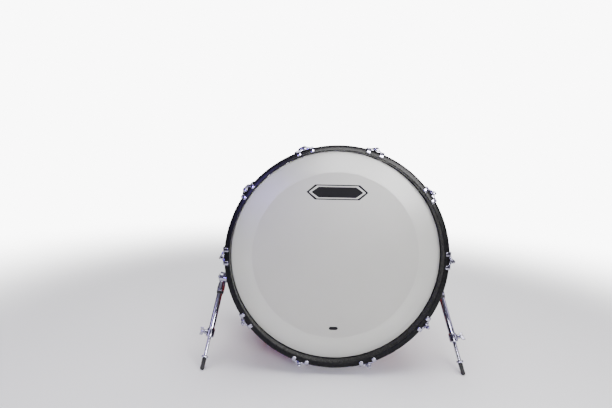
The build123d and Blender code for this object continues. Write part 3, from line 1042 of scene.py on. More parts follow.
def top_extent(node: str, end: End, degrees: float, spread: float = 12.0) -> Extent:
    """Return the extent of one of a node's ten copies, turned to the top of the rear end.

    Args:
        node: the node's name.
        end: the end of the drum that it is at.
        degrees: the copy's angle.
        spread: how far either side of that angle it may reach.

    Returns:
        The extent in the drum's frame, in millimetres.
    """
    turn = Matrix.Rotation(end.value, 4, "Z") @ Matrix.Rotation(math.radians(degrees), 4, "Y")
    back = turn.inverted()
    points = [back @ p for p in DRUM.points(node)]
    points = [p for p in points if p.y > 0 and abs(math.degrees(math.atan2(p.x, p.z))) < spread]
    return Extent(Vector([min(p[i] for p in points) for i in range(3)]),
                  Vector([max(p[i] for p in points) for i in range(3)]))


@dataclass
class Lug:
    """One cast lug: a housing over the swivel nut that tapers to a slim tail, with a raised panel."""

    tail_half: float = 9.5
    tail_height: float = 12.0
    housing: float = 30.0
    crown_fall: float = 1.2
    corner_share: float = 0.78
    corner_limit: float = 8.5
    roll: float = 1.6
    panel_rise: float = 0.9
    panel_share: float = 0.42
    mouth_flange: float = 0.8
    nut_bore: float = 2.95
    nut_show: float = 2.9

    def __post_init__(self) -> None:
        """Read the lug's place and the rod's line from the frame."""
        self.box = top_extent("rear_lugs", End.REAR, LUG_ANGLES[0])
        self.rod = top_extent("rear_rod_01", End.REAR, LUG_ANGLES[0])
        self.axis = self.rod.middle.z
        self.floor = DRUM.radii("lug_gaskets")[1] - 1.2
        self.nut = top_extent("swivel_nuts", End.REAR, LUG_ANGLES[0])

    def section(self, y: float) -> Section:
        """Work out the casting's cross-section.

        Args:
            y: distance along the drum.

        Returns:
            The cross-section there.
        """
        mouth, tail = self.box.high.y, self.box.low.y
        share = (mouth - y) / (mouth - tail)
        half = self.box.size.x / 2 * (1 - share) + self.tail_half * share
        crown = self.box.high.z
        bend = mouth - self.housing
        if y >= bend:
            high = crown - self.crown_fall * (mouth - y) / self.housing
        else:
            fall = (bend - y) / (bend - tail)
            ease = fall * fall * (3 - 2 * fall)
            knee = crown - self.crown_fall
            high = knee - (knee - self.floor - self.tail_height) * (0.35 * fall + 0.65 * ease)
        return Section(half, self.floor, high, min(half * self.corner_share, self.corner_limit), 0.3)

    def panel(self, y: float) -> Section:
        """Return the raised panel's cross-section at a distance along the drum."""
        body = self.section(y)
        return Section(body.half * self.panel_share, body.high - 2.5, body.high + self.panel_rise - 0.9,
                       1.2, 0.2)

    def mesh(self) -> Mesh:
        """Make the casting with its panel and the flange round its mouth.

        Returns:
            The lug, drawn at the top of the rear end.
        """
        mouth, tail = self.box.high.y, self.box.low.y

        def place(u: float, v: float, s: float) -> Vector:
            """Across, up and along the drum."""
            return Vector((u, s, v))

        body = rolled(tail, mouth - self.mouth_flange, self.section, self.roll, place, 22, keep_low=True)
        body.add(rolled(tail + 6, mouth - 7, self.panel, 1.0, place, 18))
        bore = self.nut.size.x / 2 + 0.15
        flange = rounded([(bore, mouth - 3, 0.1), (bore + 1.9, mouth - 3, 0.1),
                          (bore + 1.9, mouth, 0.7), (bore, mouth, 0.5)])
        return body.add(lathe(flange, 40).moved(shift(z=self.axis)))

    def nut_mesh(self) -> Mesh:
        """Return the swivel nut that shows in the lug's mouth."""
        outer, end = self.nut.size.x / 2, self.nut.high.y + self.nut_show
        return lathe(rounded([(self.nut_bore, end - 9, 0.1), (outer, end - 9, 0.2), (outer, end, 0.7),
                              (self.nut_bore, end, 0.5)]), 32).moved(shift(z=self.axis))

    def build(self) -> None:
        """Place all twenty lugs, with a nut in each mouth."""
        lug = to_data("lug", self.mesh(), Finish.CHROME, 32)
        nut = to_data("nut", self.nut_mesh(), Finish.ZINC)
        for end in End:
            for number, degrees in enumerate(LUG_ANGLES, start=1):
                spot = end.matrix(degrees)
                put(f"{end.word}_lug_{number:02d}", lug, spot, "drum", "chrome", f"{end.word}_lugs")
                put(f"{end.word}_nut_{number:02d}", nut, spot, "drum", "plain_steel", "swivel_nuts")
        log.info("twenty lugs and swivel nuts")


@dataclass
class ClawHook:
    """One cast claw: two curled fingers, a curved saddle, and a webbed boss round the rod."""

    seat: float = 0.15
    plate: float = 3.4
    finger_half: float = 5.9
    finger_gap: float = 17.5
    bend: float = 5.5
    tip_drop: float = 11.2
    boss_radius: float = 5.75
    boss_bore: float = 3.3
    boss_length: float = 20.0
    web_back: float = 15.0
    collar: float = 1.4

    def __post_init__(self) -> None:
        """Read the hoop, the claw and the rod's line from the frame."""
        self.hoop_r = DRUM.radii("rear_hoop")[1]
        self.face = DRUM.extent("rear_hoop").high.y
        self.box = top_extent("rear_claws", End.REAR, LUG_ANGLES[0])
        self.axis = top_extent("rear_rod_01", End.REAR, LUG_ANGLES[0]).middle.z

    def finger_path(self, outer: float, front: float, root: float, tip: float) -> list[Point]:
        """Draw a finger's middle line, in y and z: down the hoop, round its edge, over its face.

        Args:
            outer: height of the line over the hoop's outer face.
            front: how far along the drum the line runs over the hoop's end face.
            root: where the line starts along the drum.
            tip: height of its end.

        Returns:
            The line's points.
        """
        radius = self.bend
        line = [(root, outer), (root + 6, outer), ((root + front - radius) / 2, outer),
                (front - radius, outer)]
        for k in range(1, 9):
            angle = math.pi / 2 * k / 8
            line.append((front - radius + radius * math.sin(angle), outer - radius * (1 - math.cos(angle))))
        rest = outer - radius - tip
        line += [(front, outer - radius - rest * share) for share in (0.3, 0.6, 0.82, 0.94, 1.0)]
        return line

    def finger(self, middle: float) -> Mesh:
        """Make one curled finger.

        Args:
            middle: its distance to the side.

        Returns:
            The finger.
        """
        drop = self.hoop_r - math.sqrt(self.hoop_r ** 2 - middle ** 2)
        half_thick = self.plate / 2
        outer = self.hoop_r - drop + self.seat + half_thick + 0.2
        front = self.face + self.seat + half_thick
        line = self.finger_path(outer, front, self.box.low.y + 1.5, self.hoop_r - self.tip_drop)
        count = len(line)
        rings: list[list[Vector]] = []
        for i, (y, z) in enumerate(line):
            back, ahead = Vector(line[max(i - 1, 0)]), Vector(line[min(i + 1, count - 1)])
            way = (ahead - back).normalized()
            out = Vector((-way.y, way.x))
            share = i / (count - 1)
            taper = 1.0 - 0.10 * share
            half, thick = self.finger_half * taper, half_thick * (1.0 + 0.12 * math.sin(math.pi * share))
            if i >= count - 3:
                closing = (i - count + 3) / 2
                half *= math.sqrt(max(1 - (0.97 * closing) ** 2, 0.03)) ** 0.8
                thick *= 1 - 0.45 * closing
            if i == 0:
                half, thick = half * 0.9, thick * 0.5
            loop = Section(half, -thick, thick, thick * 0.85).loop()
            rings.append([Vector((middle + u, y + out.x * v, z + out.y * v)) for u, v in loop])
        return loft(rings)

    def saddle(self) -> Mesh:
        """Make the curved plate that joins the fingers behind the hoop's end face.

        Returns:
            The plate.
        """
        half = self.finger_gap + self.finger_half - 1.5
        middle = (self.box.low.y + self.face) / 2 + 1.0
        reach = (self.face - self.box.low.y) / 2 - 3.0
        radius = self.hoop_r + self.seat

        def shape(x: float) -> Section:
            """Plate that waists in between the fingers and swells under the boss."""
            wave = math.cos(math.pi * x / (2 * half)) ** 2
            return Section(reach - 1.5 * wave, 0.25, self.plate * 0.9 + 0.7 * wave, 1.2, 0.3)

        def place(u: float, v: float, s: float) -> Vector:
            """Along the drum, out from the hoop and round it."""
            turn = s / radius
            return Vector(((radius + v) * math.sin(turn), middle + u, (radius + v) * math.cos(turn)))

        return rolled(-half, half, shape, 0.9, place, 24, keep_low=True)

    def boss(self) -> Mesh:
        """Turn the barrel round the rod, with a collar at its outer end.

        Returns:
            The barrel.
        """
        start, end = self.box.high.y - self.boss_length, self.box.high.y
        barrel = rounded([(self.boss_bore, start, 0.3), (self.boss_radius - 0.9, start, 0.8),
                          (self.boss_radius - 0.7, end - self.collar - 3.0, 1.0),
                          (self.boss_radius, end - self.collar - 1.2, 0.8),
                          (self.boss_radius, end, 0.7), (self.boss_bore, end, 0.3)])
        return lathe(barrel, 40).moved(shift(z=self.axis))

    def web(self, side: int) -> Mesh:
        """Make the arched web from the boss down to one finger.

        Args:
            side: 1 or -1, the finger's side.

        Returns:
            The web.
        """
        y0 = self.box.high.y - self.web_back
        start, end = 3.0, self.finger_gap + 1.0

        def shape(s: float) -> Section:
            """Web that slims as it runs out from the boss."""
            share = (s - start) / (end - start)
            return Section(6.2 - 2.2 * share, -1.7 + 0.2 * share, 1.7 - 0.4 * share, 1.1)

        def place(u: float, v: float, s: float) -> Vector:
            """Place a point of the web.

            Args:
                u: distance along the drum.
                v: distance out from the web's middle.
                s: distance to the side, down the arch.

            Returns:
                The point in the drum's frame.
            """
            share = (s - start) / (end - start)
            high, low = self.axis + 2.2, self.hoop_r + self.plate - 1.9
            height = low + (high - low) * (0.5 + 0.5 * math.cos(math.pi * share))
            return Vector((side * s, y0 + u, height + v))

        return rolled(start, end, shape, 0.9, place, 12)

    def mesh(self) -> Mesh:
        """Join the boss, the saddle, the fingers and the webs.

        Returns:
            The claw, drawn at the top of the rear end.
        """
        mesh = self.boss().add(self.saddle())
        for side in (-1, 1):
            mesh.add(self.finger(side * self.finger_gap)).add(self.web(side))
        return mesh

    def build(self) -> None:
        """Place ten claws on each hoop."""
        data = to_data("claw", self.mesh(), Finish.CHROME, 40)
        for end in End:
            for number, degrees in enumerate(LUG_ANGLES, start=1):
                put(f"{end.word}_claw_{number:02d}", data, end.matrix(degrees), "drum", "chrome",
                    f"{end.word}_claws")
        log.info("twenty claw hooks")


@dataclass
class TensionRod:
    """One key rod: rolled thread, plain shank, flange, collar and square key head."""

    shank: float = 2.55
    crest: float = 2.78
    pitch: float = 1.06
    thread: float = 34.0
    flange: float = 5.1
    flange_height: float = 1.5
    square_half: float = 3.17
    collar: float = 3.9

    def mesh(self) -> Mesh:
        """Make the threaded rod and its square head.

        Returns:
            The rod about its own axis, at its own distances along the drum.
        """
        box = top_extent("rear_rod_01", End.REAR, LUG_ANGLES[0])
        washer = top_extent("rod_washers", End.REAR, LUG_ANGLES[0])
        tip, top = box.low.y, box.high.y
        seat = washer.high.y + 0.1
        profile: list[Point] = [(0.0, tip), (self.crest - 0.9, tip), (self.crest - 0.2, tip + 0.8)]
        turns = int(self.thread / self.pitch)
        for k in range(turns):
            y = tip + 1.0 + k * self.pitch
            profile += [(self.crest - 0.45, y), (self.crest, y + self.pitch / 2)]
        end = tip + 1.2 + turns * self.pitch
        profile += [(self.shank, end), (self.shank, seat)]
        profile += rounded([(self.flange, seat, 0.3), (self.flange, seat + self.flange_height, 0.6),
                            (self.collar, seat + self.flange_height, 0.5)])
        profile += [(self.collar - 0.5, seat + self.flange_height + 0.5),
                    (0.0, seat + self.flange_height + 0.6)]
        mesh = lathe(profile, 28, closed=False)

        def place(u: float, v: float, s: float) -> Vector:
            """Across, up and along the rod."""
            return Vector((u, s, v))

        half = self.square_half
        head = rolled(seat + self.flange_height - 0.3, top,
                      lambda s: Section(half, -half, half, 0.7), 0.8, place, 3)
        return mesh.add(head)

    def build(self) -> None:
        """Place the twenty rods, each on its own body, and their washers."""
        data = to_data("tension_rod", self.mesh(), Finish.CHROME, 38)
        washer = top_extent("rod_washers", End.REAR, LUG_ANGLES[0])
        ring = lathe(rounded([(3.3, washer.low.y, 0.15), (washer.size.x / 2, washer.low.y, 0.3),
                              (washer.size.x / 2, washer.high.y, 0.35), (3.3, washer.high.y, 0.2)]), 36)
        ring_data = to_data("washer", ring, Finish.ZINC)
        axis = top_extent("rear_rod_01", End.REAR, LUG_ANGLES[0]).middle.z * MM
        for end in End:
            for number, degrees in enumerate(LUG_ANGLES, start=1):
                spot = end.matrix(degrees) @ Matrix.Translation((0, 0, axis))
                put(f"{end.word}_key_rod_{number:02d}", data, spot,
                    f"{end.word}_tension_rod_{number:02d}", "chrome", f"{end.word}_rod_{number:02d}")
                put(f"{end.word}_washer_{number:02d}", ring_data, spot, "drum", "plain_steel",
                    "rod_washers")
        log.info("twenty key rods and washers")


# ---- spurs ----------------------------------------------------------------------------------------------


class Side(Enum):
    """Left and right, with the sign of X on that side."""

    RIGHT = 1
    LEFT = -1

    @property
    def word(self) -> str:
        """Return the side's name in lower case."""
        return self.name.lower()


@dataclass
class Spur:
    """One fold-out spur: bracket, pivot, knuckle, telescoping leg, wing screw, nut and foot."""

    side: Side
    base_thick: float = 6.4
    base_corner: float = 9.0
    boss_radius: float = 13.9
    boss_reach: float = 27.0
    bolt_radius: float = 8.4
    socket_radius: float = 10.9
    socket_bore: float = 8.05
    groove_radius: float = 10.1
    tube_radius: float = 8.0
    tube_bore: float = 6.5
    rod_radius: float = 4.75
    rod_hole: float = 5.1
    crest_radius: float = 3.05
    root_radius: float = 2.6
    thread_pitch: float = 1.2
    knurls: int = 28
    knurl_depth: float = 0.028
    wing_thick: float = 3.4
    wing_span: float = 12.6
    wing_turn_deg: float = 55.0
    foot_radius: float = 6.0
    foot_rings: int = 3

    def __post_init__(self) -> None:
        """Read the leg's and the bracket's frames."""
        word = self.side.word
        fold, slide = joint(f"{word}_spur_fold"), joint(f"{word}_spur_length")
        z = Vector(slide["axis"]).normalized()
        x = Vector(fold["axis"]).normalized() * self.side.value
        x = (x - z * x.dot(z)).normalized()
        self.leg = Place(Vector(fold["pos_m"]), x, z.cross(x), z)
        middle = DRUM.extent(f"{word}_spur_bracket").middle
        self.angle = math.degrees(math.atan2(middle.x, middle.z))

    def node(self, part: str) -> str:
        """Return the name of one of this spur's nodes."""
        return f"{self.side.word}_spur_{part}"

    def add(self, part: str, mesh: Mesh, finish: Finish, body: str, slot: str,
            matrix: Matrix | None = None, node: str | None = None, sharp: float = 35.0) -> None:
        """Place one piece of the spur.

        Args:
            part: the piece's short name.
            mesh: its mesh, in the leg's frame unless a matrix is given.
            finish: its finish.
            body: the body that it rides on.
            slot: the record's material slot, passed on to put, which does not use it.
            matrix: its place, in metres.
            node: the node that it stands for.
            sharp: edges that bend more than this stay crisp.
        """
        name = f"{self.side.word}_{part}"
        put(name, to_data(name, mesh, finish, sharp), matrix or self.leg.matrix, body, slot,
            *([node] if node else []))

    def bracket(self) -> None:
        """Place the cast bracket: a curved base, the pivot's boss and the catch housing."""
        node = self.node("bracket")
        turn = Matrix.Rotation(math.radians(self.angle), 4, "Y")
        back = turn.inverted()
        points = [back @ p for p in DRUM.points(node)]
        seat = DRUM.radii("spur_gaskets")[1]
        low_y, high_y = min(p.y for p in points), max(p.y for p in points)
        skin = [p for p in points if math.hypot(p.x, p.z) < seat + 0.3]
        arcs = [math.atan2(p.x, p.z) * seat for p in skin]
        first, last = min(arcs), max(arcs)
        middle, half = (low_y + high_y) / 2, (high_y - low_y) / 2
        corner = self.base_corner

        def base(s: float) -> Section:
            """Work out the base plate's section, whose plan has rounded corners.

            Args:
                s: distance round the shell.

            Returns:
                The section there.
            """
            edge = min(s - first, last - s)
            cut = 0.0 if edge >= corner else corner - math.sqrt(max(corner ** 2 - (corner - edge) ** 2, 0))
            return Section(half - cut, 0.0, self.base_thick, 2.2, 0.2)

        def on_shell(u: float, v: float, s: float) -> Vector:
            """Along the drum, out from the shell and round it."""
            angle = s / seat
            return Vector(((seat + v) * math.sin(angle), middle + u, (seat + v) * math.cos(angle)))

        mesh = rolled(first, last, base, 1.5, on_shell, 30, keep_low=True)
        far = max(points, key=lambda p: p.z)
        catch = [p for p in points if p.z > far.z - 1.0]
        x0, x1 = min(p.x for p in catch), max(p.x for p in catch)
        y0, y1 = min(p.y for p in catch), max(p.y for p in catch)

        def housing(s: float) -> Section:
            """Work out the catch housing's section, which narrows towards its cap.

            Args:
                s: distance from the drum's axis.

            Returns:
                The section there.
            """
            share = (s - seat) / (far.z - seat)
            grow = 1.0 - 0.10 * share
            return Section((y1 - y0) / 2 * grow, -(x1 - x0) / 2 * grow, (x1 - x0) / 2 * grow, 3.2)

        def upward(u: float, v: float, s: float) -> Vector:
            """Across the drum, along it, and out from it."""
            return Vector(((x0 + x1) / 2 + v, (y0 + y1) / 2 + u, s))

        mesh.add(rolled(seat + 2, far.z, housing, 2.4, upward, 6))
        self.add("bracket", mesh, Finish.CHROME, "drum", "chrome", DRUM.matrix @ turn, node)
        inner = -self.leg.extent(self.node("knuckle")).high.x - 0.3
        root, radius = inner - self.boss_reach, self.boss_radius
        boss = lathe(rounded([(0.1, root, 0), (radius + 1.6, root, 1), (radius, inner - 9, 2.0),
                              (radius, inner, 1.4), (0.1, inner, 0)]), 64)
        self.add("pivot_boss", boss.moved(along("x")), Finish.CHROME, "drum", "chrome")

    def pivot(self) -> None:
        """Place the pivot bolt's domed head with its square drive, and the knuckle."""
        box = self.leg.extent(self.node("knuckle"))
        edge = box.high.x
        start = edge + 0.35
        bolt = self.bolt_radius
        dome = rounded([(0.1, start, 0), (bolt, start, 0.3), (bolt, start + 1.6, 1.0),
                        (bolt / 2, start + 3.4, 1.6), (0.1, start + 3.6, 0)])
        head = lathe(dome, 48).moved(along("x"))
        head.add(rolled(start + 2.8, start + 5.0, lambda s: Section(2.6, -2.6, 2.6, 0.5), 0.4,
                        lambda u, v, s: Vector((s, u, v)), 2))
        self.add("pivot_bolt_head", head, Finish.ZINC, "drum", "chrome", node="spur_pivot_bolts")
        radius = box.size.y / 2
        eye = lathe(rounded([(4.9, -edge, 0.5), (radius, -edge, 1.8), (radius, edge, 1.8),
                             (radius - 3.2, edge, 0.6), (radius - 3.8, edge - 0.9, 0.6),
                             (6.0, edge - 0.9, 0.5), (5.6, edge, 0.3), (4.9, edge, 0.3)]), 64)
        mesh = eye.moved(along("x"))
        end, bed = box.high.z, self.leg.extent(self.node("tube")).low.z
        wide, groove, bore = self.socket_radius, self.groove_radius, self.socket_bore
        socket = rounded([(0.1, 8, 0), (6.6, 8, 1), (9.0, 15, 4), (10.2, 22, 4), (wide, end - 9, 2),
                          (wide, end - 4.6, 0.8), (groove, end - 4.0, 0.4), (groove, end - 2.9, 0.4),
                          (wide, end - 2.2, 0.5), (wide, end, 0.9), (bore, end, 0.2), (bore, bed, 0),
                          (0.1, bed, 0)])
        mesh.add(lathe(socket, 56).moved(along("z")))
        self.add("knuckle", mesh, Finish.CHROME, f"{self.side.word}_leg", "chrome",
                 node=self.node("knuckle"))

    def leg_tube(self) -> None:
        """Place the nylon collar, the outer tube and the clamp at its lower end."""
        body = f"{self.side.word}_leg"
        ring = self.leg.extent(self.node("collar"))
        r = ring.size.x / 2
        collar = rounded([(7.9, ring.low.z, 0), (r, ring.low.z, 0.8), (r, ring.low.z + 2.6, 0.8),
                          (r - 0.7, ring.low.z + 3.2, 0.4), (r - 0.2, ring.high.z - 0.8, 1.2),
                          (7.9, ring.high.z, 0.4)])
        self.add("collar", lathe(collar, 48).moved(along("z")), Finish.NYLON, body, "black_plastic",
                 node=self.node("collar"))
        tube = self.leg.extent(self.node("tube"))
        outer, inner = self.tube_radius, self.tube_bore
        outline = rounded([(inner, tube.low.z, 0), (outer, tube.low.z, 0), (outer, tube.high.z, 0.6),
                           (inner, tube.high.z, 0.4)])
        self.add("outer_tube", lathe(outline, 56).moved(along("z")), Finish.CHROME, body, "chrome",
                 node=self.node("tube"))
        box = self.leg.extent(self.node("clamp"))
        wing = self.leg.extent(self.node("wing_screw")).middle.z
        top, low, reach = box.low.z, box.high.z, box.high.x
        wide, bore, hole = self.socket_radius, self.socket_bore, self.rod_hole
        shell = rounded([(bore, top, 0.3), (9.6, top, 1.2), (wide, top + 3.5, 1.5), (wide, low - 2.5, 1.5),
                         (9.4, low, 1.2), (hole, low, 0.4), (hole, low - 3.2, 0.2), (bore, low - 3.2, 0.2)])
        mesh = lathe(shell, 56).moved(along("z"))
        thread = self.crest_radius
        boss = rounded([(thread, 7.5, 0), (7.6, 7.5, 0), (6.5, 12.5, 2.5), (6.4, reach, 0.8),
                        (thread, reach, 0.4)])
        mesh.add(lathe(boss, 40).moved(along("x")).moved(shift(z=wing)))
        self.add("clamp", mesh, Finish.CHROME, body, "chrome", node=self.node("clamp"))

    def wing_screw(self) -> None:
        """Place the wing screw: threaded shank, waisted hub and two cast ears."""
        node = self.node("wing_screw")
        box = self.leg.extent(node)
        clamp = self.leg.extent(self.node("clamp")).high.x
        z = box.middle.z
        start, end = clamp + 0.3, clamp + 11.0
        shank = lathe([(0.0, box.low.x), (2.4, box.low.x), (2.9, box.low.x + 0.8), (2.9, start + 1),
                       (0.0, start + 1)], 24, closed=False)
        hub = lathe(rounded([(0.1, start, 0), (5.3, start, 0.6), (4.2, start + 4, 3), (4.6, end - 2, 2),
                             (2.8, end, 1.2), (0.1, end + 0.2, 0)]), 36)
        mesh = shank.add(hub).moved(along("x"))
        span = self.wing_span
        for sign in (-1, 1):
            def ear(s: float) -> Section:
                """Work out an ear's section, which flares and leans outward.

                Args:
                    s: distance from the screw's axis.

                Returns:
                    The section there.
                """
                share = s / span
                lean = 2.6 * share + 1.2 * share * share
                flare = 3.3 + 1.5 * math.sin(math.pi * min(share, 1) * 0.8)
                middle = start + 5.0 + lean
                return Section(self.wing_thick / 2 * (1.15 - 0.3 * share), middle - flare, middle + flare,
                               1.4)

            def place(u: float, v: float, s: float, sign: int = sign) -> Vector:
                """Through the ear, along the screw, and out sideways."""
                return Vector((v, sign * s, u))

            mesh.add(rolled(2.0, span, ear, 1.6, place, 12))
        turn = Matrix.Rotation(math.radians(self.wing_turn_deg), 4, "X")
        self.add("wing_screw", mesh.moved(shift(z=z) @ turn), Finish.CHROME,
                 f"{self.side.word}_wing", "chrome", node=node)

    def inner_rod(self) -> None:
        """Place the inner rod with its threaded spike, the knurled lock nut and the rubber foot."""
        body = f"{self.side.word}_extension"
        rod = self.leg.extent(self.node("rod"))
        nut = self.leg.extent(self.node("lock_nut"))
        foot = self.leg.extent(self.node("foot"))
        r, crest, root, pitch = self.rod_radius, self.crest_radius, self.root_radius, self.thread_pitch
        profile: list[Point] = [(0.0, rod.low.z), (r - 0.6, rod.low.z), (r, rod.low.z + 0.6),
                                (r, nut.low.z - 1.2), (3.6, nut.low.z - 0.2)]
        y = nut.low.z
        while y < rod.high.z - 6:
            profile += [(root, y), (crest, y + pitch / 2)]
            y += pitch
        profile += [(root, y), (0.4, rod.high.z), (0.0, rod.high.z)]
        self.add("inner_rod", lathe(profile, 40, closed=False).moved(along("z")), Finish.CHROME, body,
                 "chrome", node=self.node("rod"))
        rim = nut.size.x / 2
        teeth = self.knurls

        def knurl(angle: float) -> float:
            """Shallow teeth round the nut."""
            return 1.0 - self.knurl_depth * (0.5 + 0.5 * math.cos(teeth * angle))

        ring = rounded([(3.1, nut.low.z, 0.2), (rim * 0.8, nut.low.z, 0.4), (rim, nut.low.z + 1.1, 0.7),
                        (rim, nut.high.z - 1.1, 0.7), (rim * 0.8, nut.high.z, 0.4),
                        (3.1, nut.high.z, 0.2)])
        self.add("lock_nut", lathe(ring, teeth * 6, knurl).moved(along("z")), Finish.CHROME, body,
                 "chrome", node=self.node("lock_nut"), sharp=50)
        end = foot.high.z
        radius = self.foot_radius
        top = nut.high.z + 0.1
        outline: list[tuple[float, float, float]] = [(3.2, top, 0.2), (radius - 0.8, top, 0.8)]
        for k in range(self.foot_rings):
            y = top + 3.5 + 4.5 * k
            outline += [(radius, y, 0.6), (radius, y + 1.8, 0.6), (radius - 0.9, y + 2.4, 0.4),
                        (radius - 0.9, y + 3.4, 0.4)]
        dome = [(radius * math.cos(math.radians(a)), end - radius + radius * math.sin(math.radians(a)))
                for a in range(0, 91, 10)]
        sole = rounded(outline, 8) + dome
        well = [(0.0, end - 9), (3.2, end - 9)]
        self.add("foot", lathe(well + sole, 48, closed=False).moved(along("z")), Finish.RUBBER,
                 f"{self.side.word}_foot", "black_rubber", node=self.node("foot"))

    def build(self) -> None:
        """Place the whole spur."""
        self.bracket()
        self.pivot()
        self.leg_tube()
        self.wing_screw()
        self.inner_rod()
        log.info("%s spur", self.side.word)


# ---- studio ----------------------------------------------------------------------------------------------


@dataclass(frozen=True)
class PaleFloor:
    """Matt white studio paper: near white, faintly mottled, fading out into the white room."""

    name: str = "white_studio_paper"
    colour: str = "F6F6F5"
    mottle_mm: float = 90.0
    clear_from: float = 0.9
    clear_to: float = 2.6

    def build(self) -> bpy.types.Material:
        """Build the matt paper, which thins to nothing away from the drum.

        Returns:
            The material.
        """
        material, tree, out = blank_material(self.name)
        point = add_node(tree, "ShaderNodeTexCoord").outputs["Object"]
        mottle = add_node(tree, "ShaderNodeTexNoise",
                          {"Vector": point, "Scale": per_mm(self.mottle_mm), "Detail": 3.0})
        rough = add_node(tree, "ShaderNodeMapRange",
                         {"Value": mottle.outputs["Fac"], "To Min": 0.6, "To Max": 0.75})
        paper = add_node(tree, "ShaderNodeBsdfPrincipled",
                         {"Base Color": linear(self.colour), "Roughness": rough.outputs["Result"],
                          "Specular IOR Level": 0.2})
        away = add_node(tree, "ShaderNodeVectorMath", {0: point}, operation="LENGTH")
        fade = add_node(tree, "ShaderNodeMapRange",
                        {"Value": away.outputs["Value"], "From Min": self.clear_from,
                         "From Max": self.clear_to}, interpolation_type="SMOOTHERSTEP")
        clear = add_node(tree, "ShaderNodeBsdfTransparent")
        mix = add_node(tree, "ShaderNodeMixShader",
                       {0: fade.outputs["Result"], 1: paper.outputs[0], 2: clear.outputs[0]})
        tree.links.new(mix.outputs[0], out.inputs["Surface"])
        return material


@dataclass(frozen=True)
class Lamp:
    """One soft square lamp aimed at the drum: place and side in metres, power in watts."""

    name: str
    spot: tuple[float, float, float]
    side: float
    watts: float
    colour: str = "FFFFFF"

    def hang(self) -> None:
        """Add the lamp to the scene."""
        light = bpy.data.lights.new(self.name, "AREA")
        light.shape = "SQUARE"
        light.size = self.side
        light.energy = self.watts
        light.color = linear(self.colour)[:3]
        holder = bpy.data.objects.new(self.name, light)
        bpy.context.scene.collection.objects.link(holder)
        holder.location = self.spot
        holder.visible_camera = False
        aim = Vector((0, 0, 0.3)) - Vector(self.spot)
        holder.rotation_euler = aim.to_track_quat("-Z", "Y").to_euler()


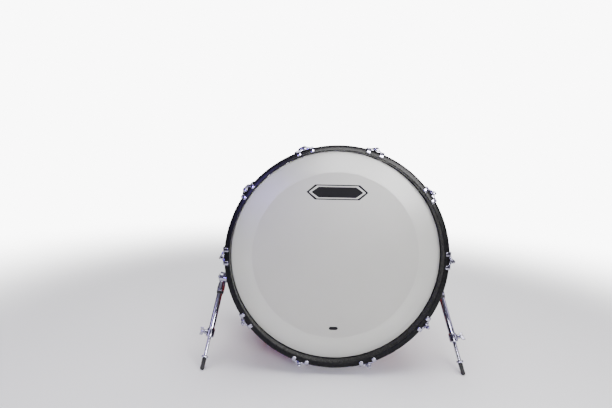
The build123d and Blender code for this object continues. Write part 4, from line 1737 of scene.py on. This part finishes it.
@dataclass
class Studio:
    """Pale floor, soft lights and the camera."""

    floor_radius: float = 3.0
    white_strength: float = 9.0
    room_strength: float = 0.8
    focal_mm: float = 26.64
    shift_x: float = 0.0481
    camera_from_hoop_mm: tuple[float, float, float] = (-160.0, -1163.0, 231.0)
    yaw_deg: float = 0.0
    pitch_deg: float = 4.5
    roll_deg: float = -1.16
    lamps: tuple[Lamp, ...] = (
        Lamp("overhead", (0.0, -0.2, 2.9), 2.4, 80.0),
        Lamp("sheen", (0.55, -1.64, 0.57), 0.34, 15.0),
        Lamp("upper_sheen", (0.20, -1.63, 0.67), 0.26, 8.0),
        Lamp("violet", (-0.22, -1.65, 0.47), 0.24, 4.0, "9C80FF"),
        Lamp("left", (-2.4, -1.7, 1.2), 0.8, 12.0, "D2C4FF"),
        Lamp("right", (2.8, -0.9, 1.3), 0.8, 10.0, "F0E8FF"),
        Lamp("back", (0.6, 2.7, 1.8), 1.4, 30.0),
    )

    def floor(self) -> None:
        """Lay the floor."""
        rings, spokes = (0.25, 0.5, 1.0), 96
        points = [Vector((0, 0, 0))]
        for ring in rings:
            radius = self.floor_radius * ring
            points += [Vector((radius * math.sin(2 * math.pi * k / spokes),
                               radius * math.cos(2 * math.pi * k / spokes), 0)) for k in range(spokes)]
        faces: list[tuple[int, ...]] = [(0, (k + 1) % spokes + 1, k + 1) for k in range(spokes)]
        for ring in range(1, len(rings)):
            inner, outer = 1 + (ring - 1) * spokes, 1 + ring * spokes
            faces += [(inner + k, inner + (k + 1) % spokes, outer + (k + 1) % spokes, outer + k)
                      for k in range(spokes)]
        data = bpy.data.meshes.new("floor")
        data.from_pydata(points, [], faces)
        data.materials.append(PaleFloor().build())
        floor = bpy.data.objects.new("floor", data)
        bpy.context.scene.collection.objects.link(floor)

    def world(self) -> None:
        """Surround the drum with a white room whose walls reflect as violet greys in the chrome."""
        world = bpy.data.worlds.new("pale_room")
        bpy.context.scene.world = world
        world.use_nodes = True
        tree = world.node_tree
        tree.nodes.clear()
        way = add_node(tree, "ShaderNodeTexCoord").outputs["Generated"]
        height = add_node(tree, "ShaderNodeSeparateXYZ", {"Vector": way})
        share = add_node(tree, "ShaderNodeMapRange",
                         {"Value": height.outputs["Z"], "From Min": -0.4, "From Max": 1.0})
        ramp = add_node(tree, "ShaderNodeValToRGB", {"Fac": share.outputs["Result"]})
        stops = ramp.color_ramp.elements
        stops[0].color = linear("A6A5A8")
        stops[1].color = linear("F4F4F6")
        stops.new(0.27).color = linear("37304A")
        stops.new(0.42).color = linear("1C162C")
        stops.new(0.56).color = linear("8A869C")
        ray = add_node(tree, "ShaderNodeLightPath")
        seen = add_node(tree, "ShaderNodeBackground",
                        {"Color": linear("FFFFFF"), "Strength": self.white_strength})
        lit = add_node(tree, "ShaderNodeBackground",
                       {"Color": ramp.outputs["Color"], "Strength": self.room_strength})
        mix = add_node(tree, "ShaderNodeMixShader",
                       {0: ray.outputs["Is Camera Ray"], 1: lit.outputs[0], 2: seen.outputs[0]})
        add_node(tree, "ShaderNodeOutputWorld", {"Surface": mix.outputs[0]})

    def camera(self) -> None:
        """Place the camera in front of the drum, a little to its left and above its middle."""
        data = bpy.data.cameras.new("camera")
        data.sensor_width = 36.0
        data.lens = self.focal_mm
        data.shift_x = self.shift_x
        data.clip_end = 50.0
        camera = bpy.data.objects.new("camera", data)
        bpy.context.scene.collection.objects.link(camera)
        hoop = Vector((0.0, DRUM.extent("front_hoop").low.y, 0.0))
        spot = DRUM.matrix @ ((hoop + Vector(self.camera_from_hoop_mm)) * MM)
        turn = (Matrix.Rotation(-math.radians(self.yaw_deg), 4, "Z")
                @ Matrix.Rotation(math.radians(90 - self.pitch_deg), 4, "X")
                @ Matrix.Rotation(-math.radians(self.roll_deg), 4, "Z"))
        camera.matrix_world = (Matrix.Translation(spot) @ DRUM.matrix.to_3x3().to_4x4() @ turn)
        bpy.context.scene.camera = camera

    def build(self) -> None:
        """Set up the floor, the room, the lamps and the camera."""
        self.floor()
        self.world()
        for lamp in self.lamps:
            lamp.hang()
        self.camera()
        log.info("studio")


# ---- everything in order -----------------------------------------------------------------------------


def dress_kept_nodes() -> None:
    """Give every plain piece that stays visible its finish."""
    slots = {part["node"]: part["material_slot"] for part in frame["record"]["subparts"]}
    for name, obj in frame["nodes"].items():
        finish = PALETTE.get(SLOT_FINISH[slots[name]])
        for place in obj.material_slots:
            place.material = finish
        if not obj.material_slots:
            obj.data.materials.append(finish)


def main() -> None:
    """Build the studio and then every piece of the drum."""
    logging.basicConfig(level=logging.INFO)
    dress_kept_nodes()
    Studio().build()
    Shell().build()
    for end in End:
        PlayingHead(end).build()
        Counterhoop(end).build()
    HeadPrint().build()
    Lug().build()
    ClawHook().build()
    TensionRod().build()
    for side in Side:
        Spur(side).build()


if __name__ == "__main__":
    main()
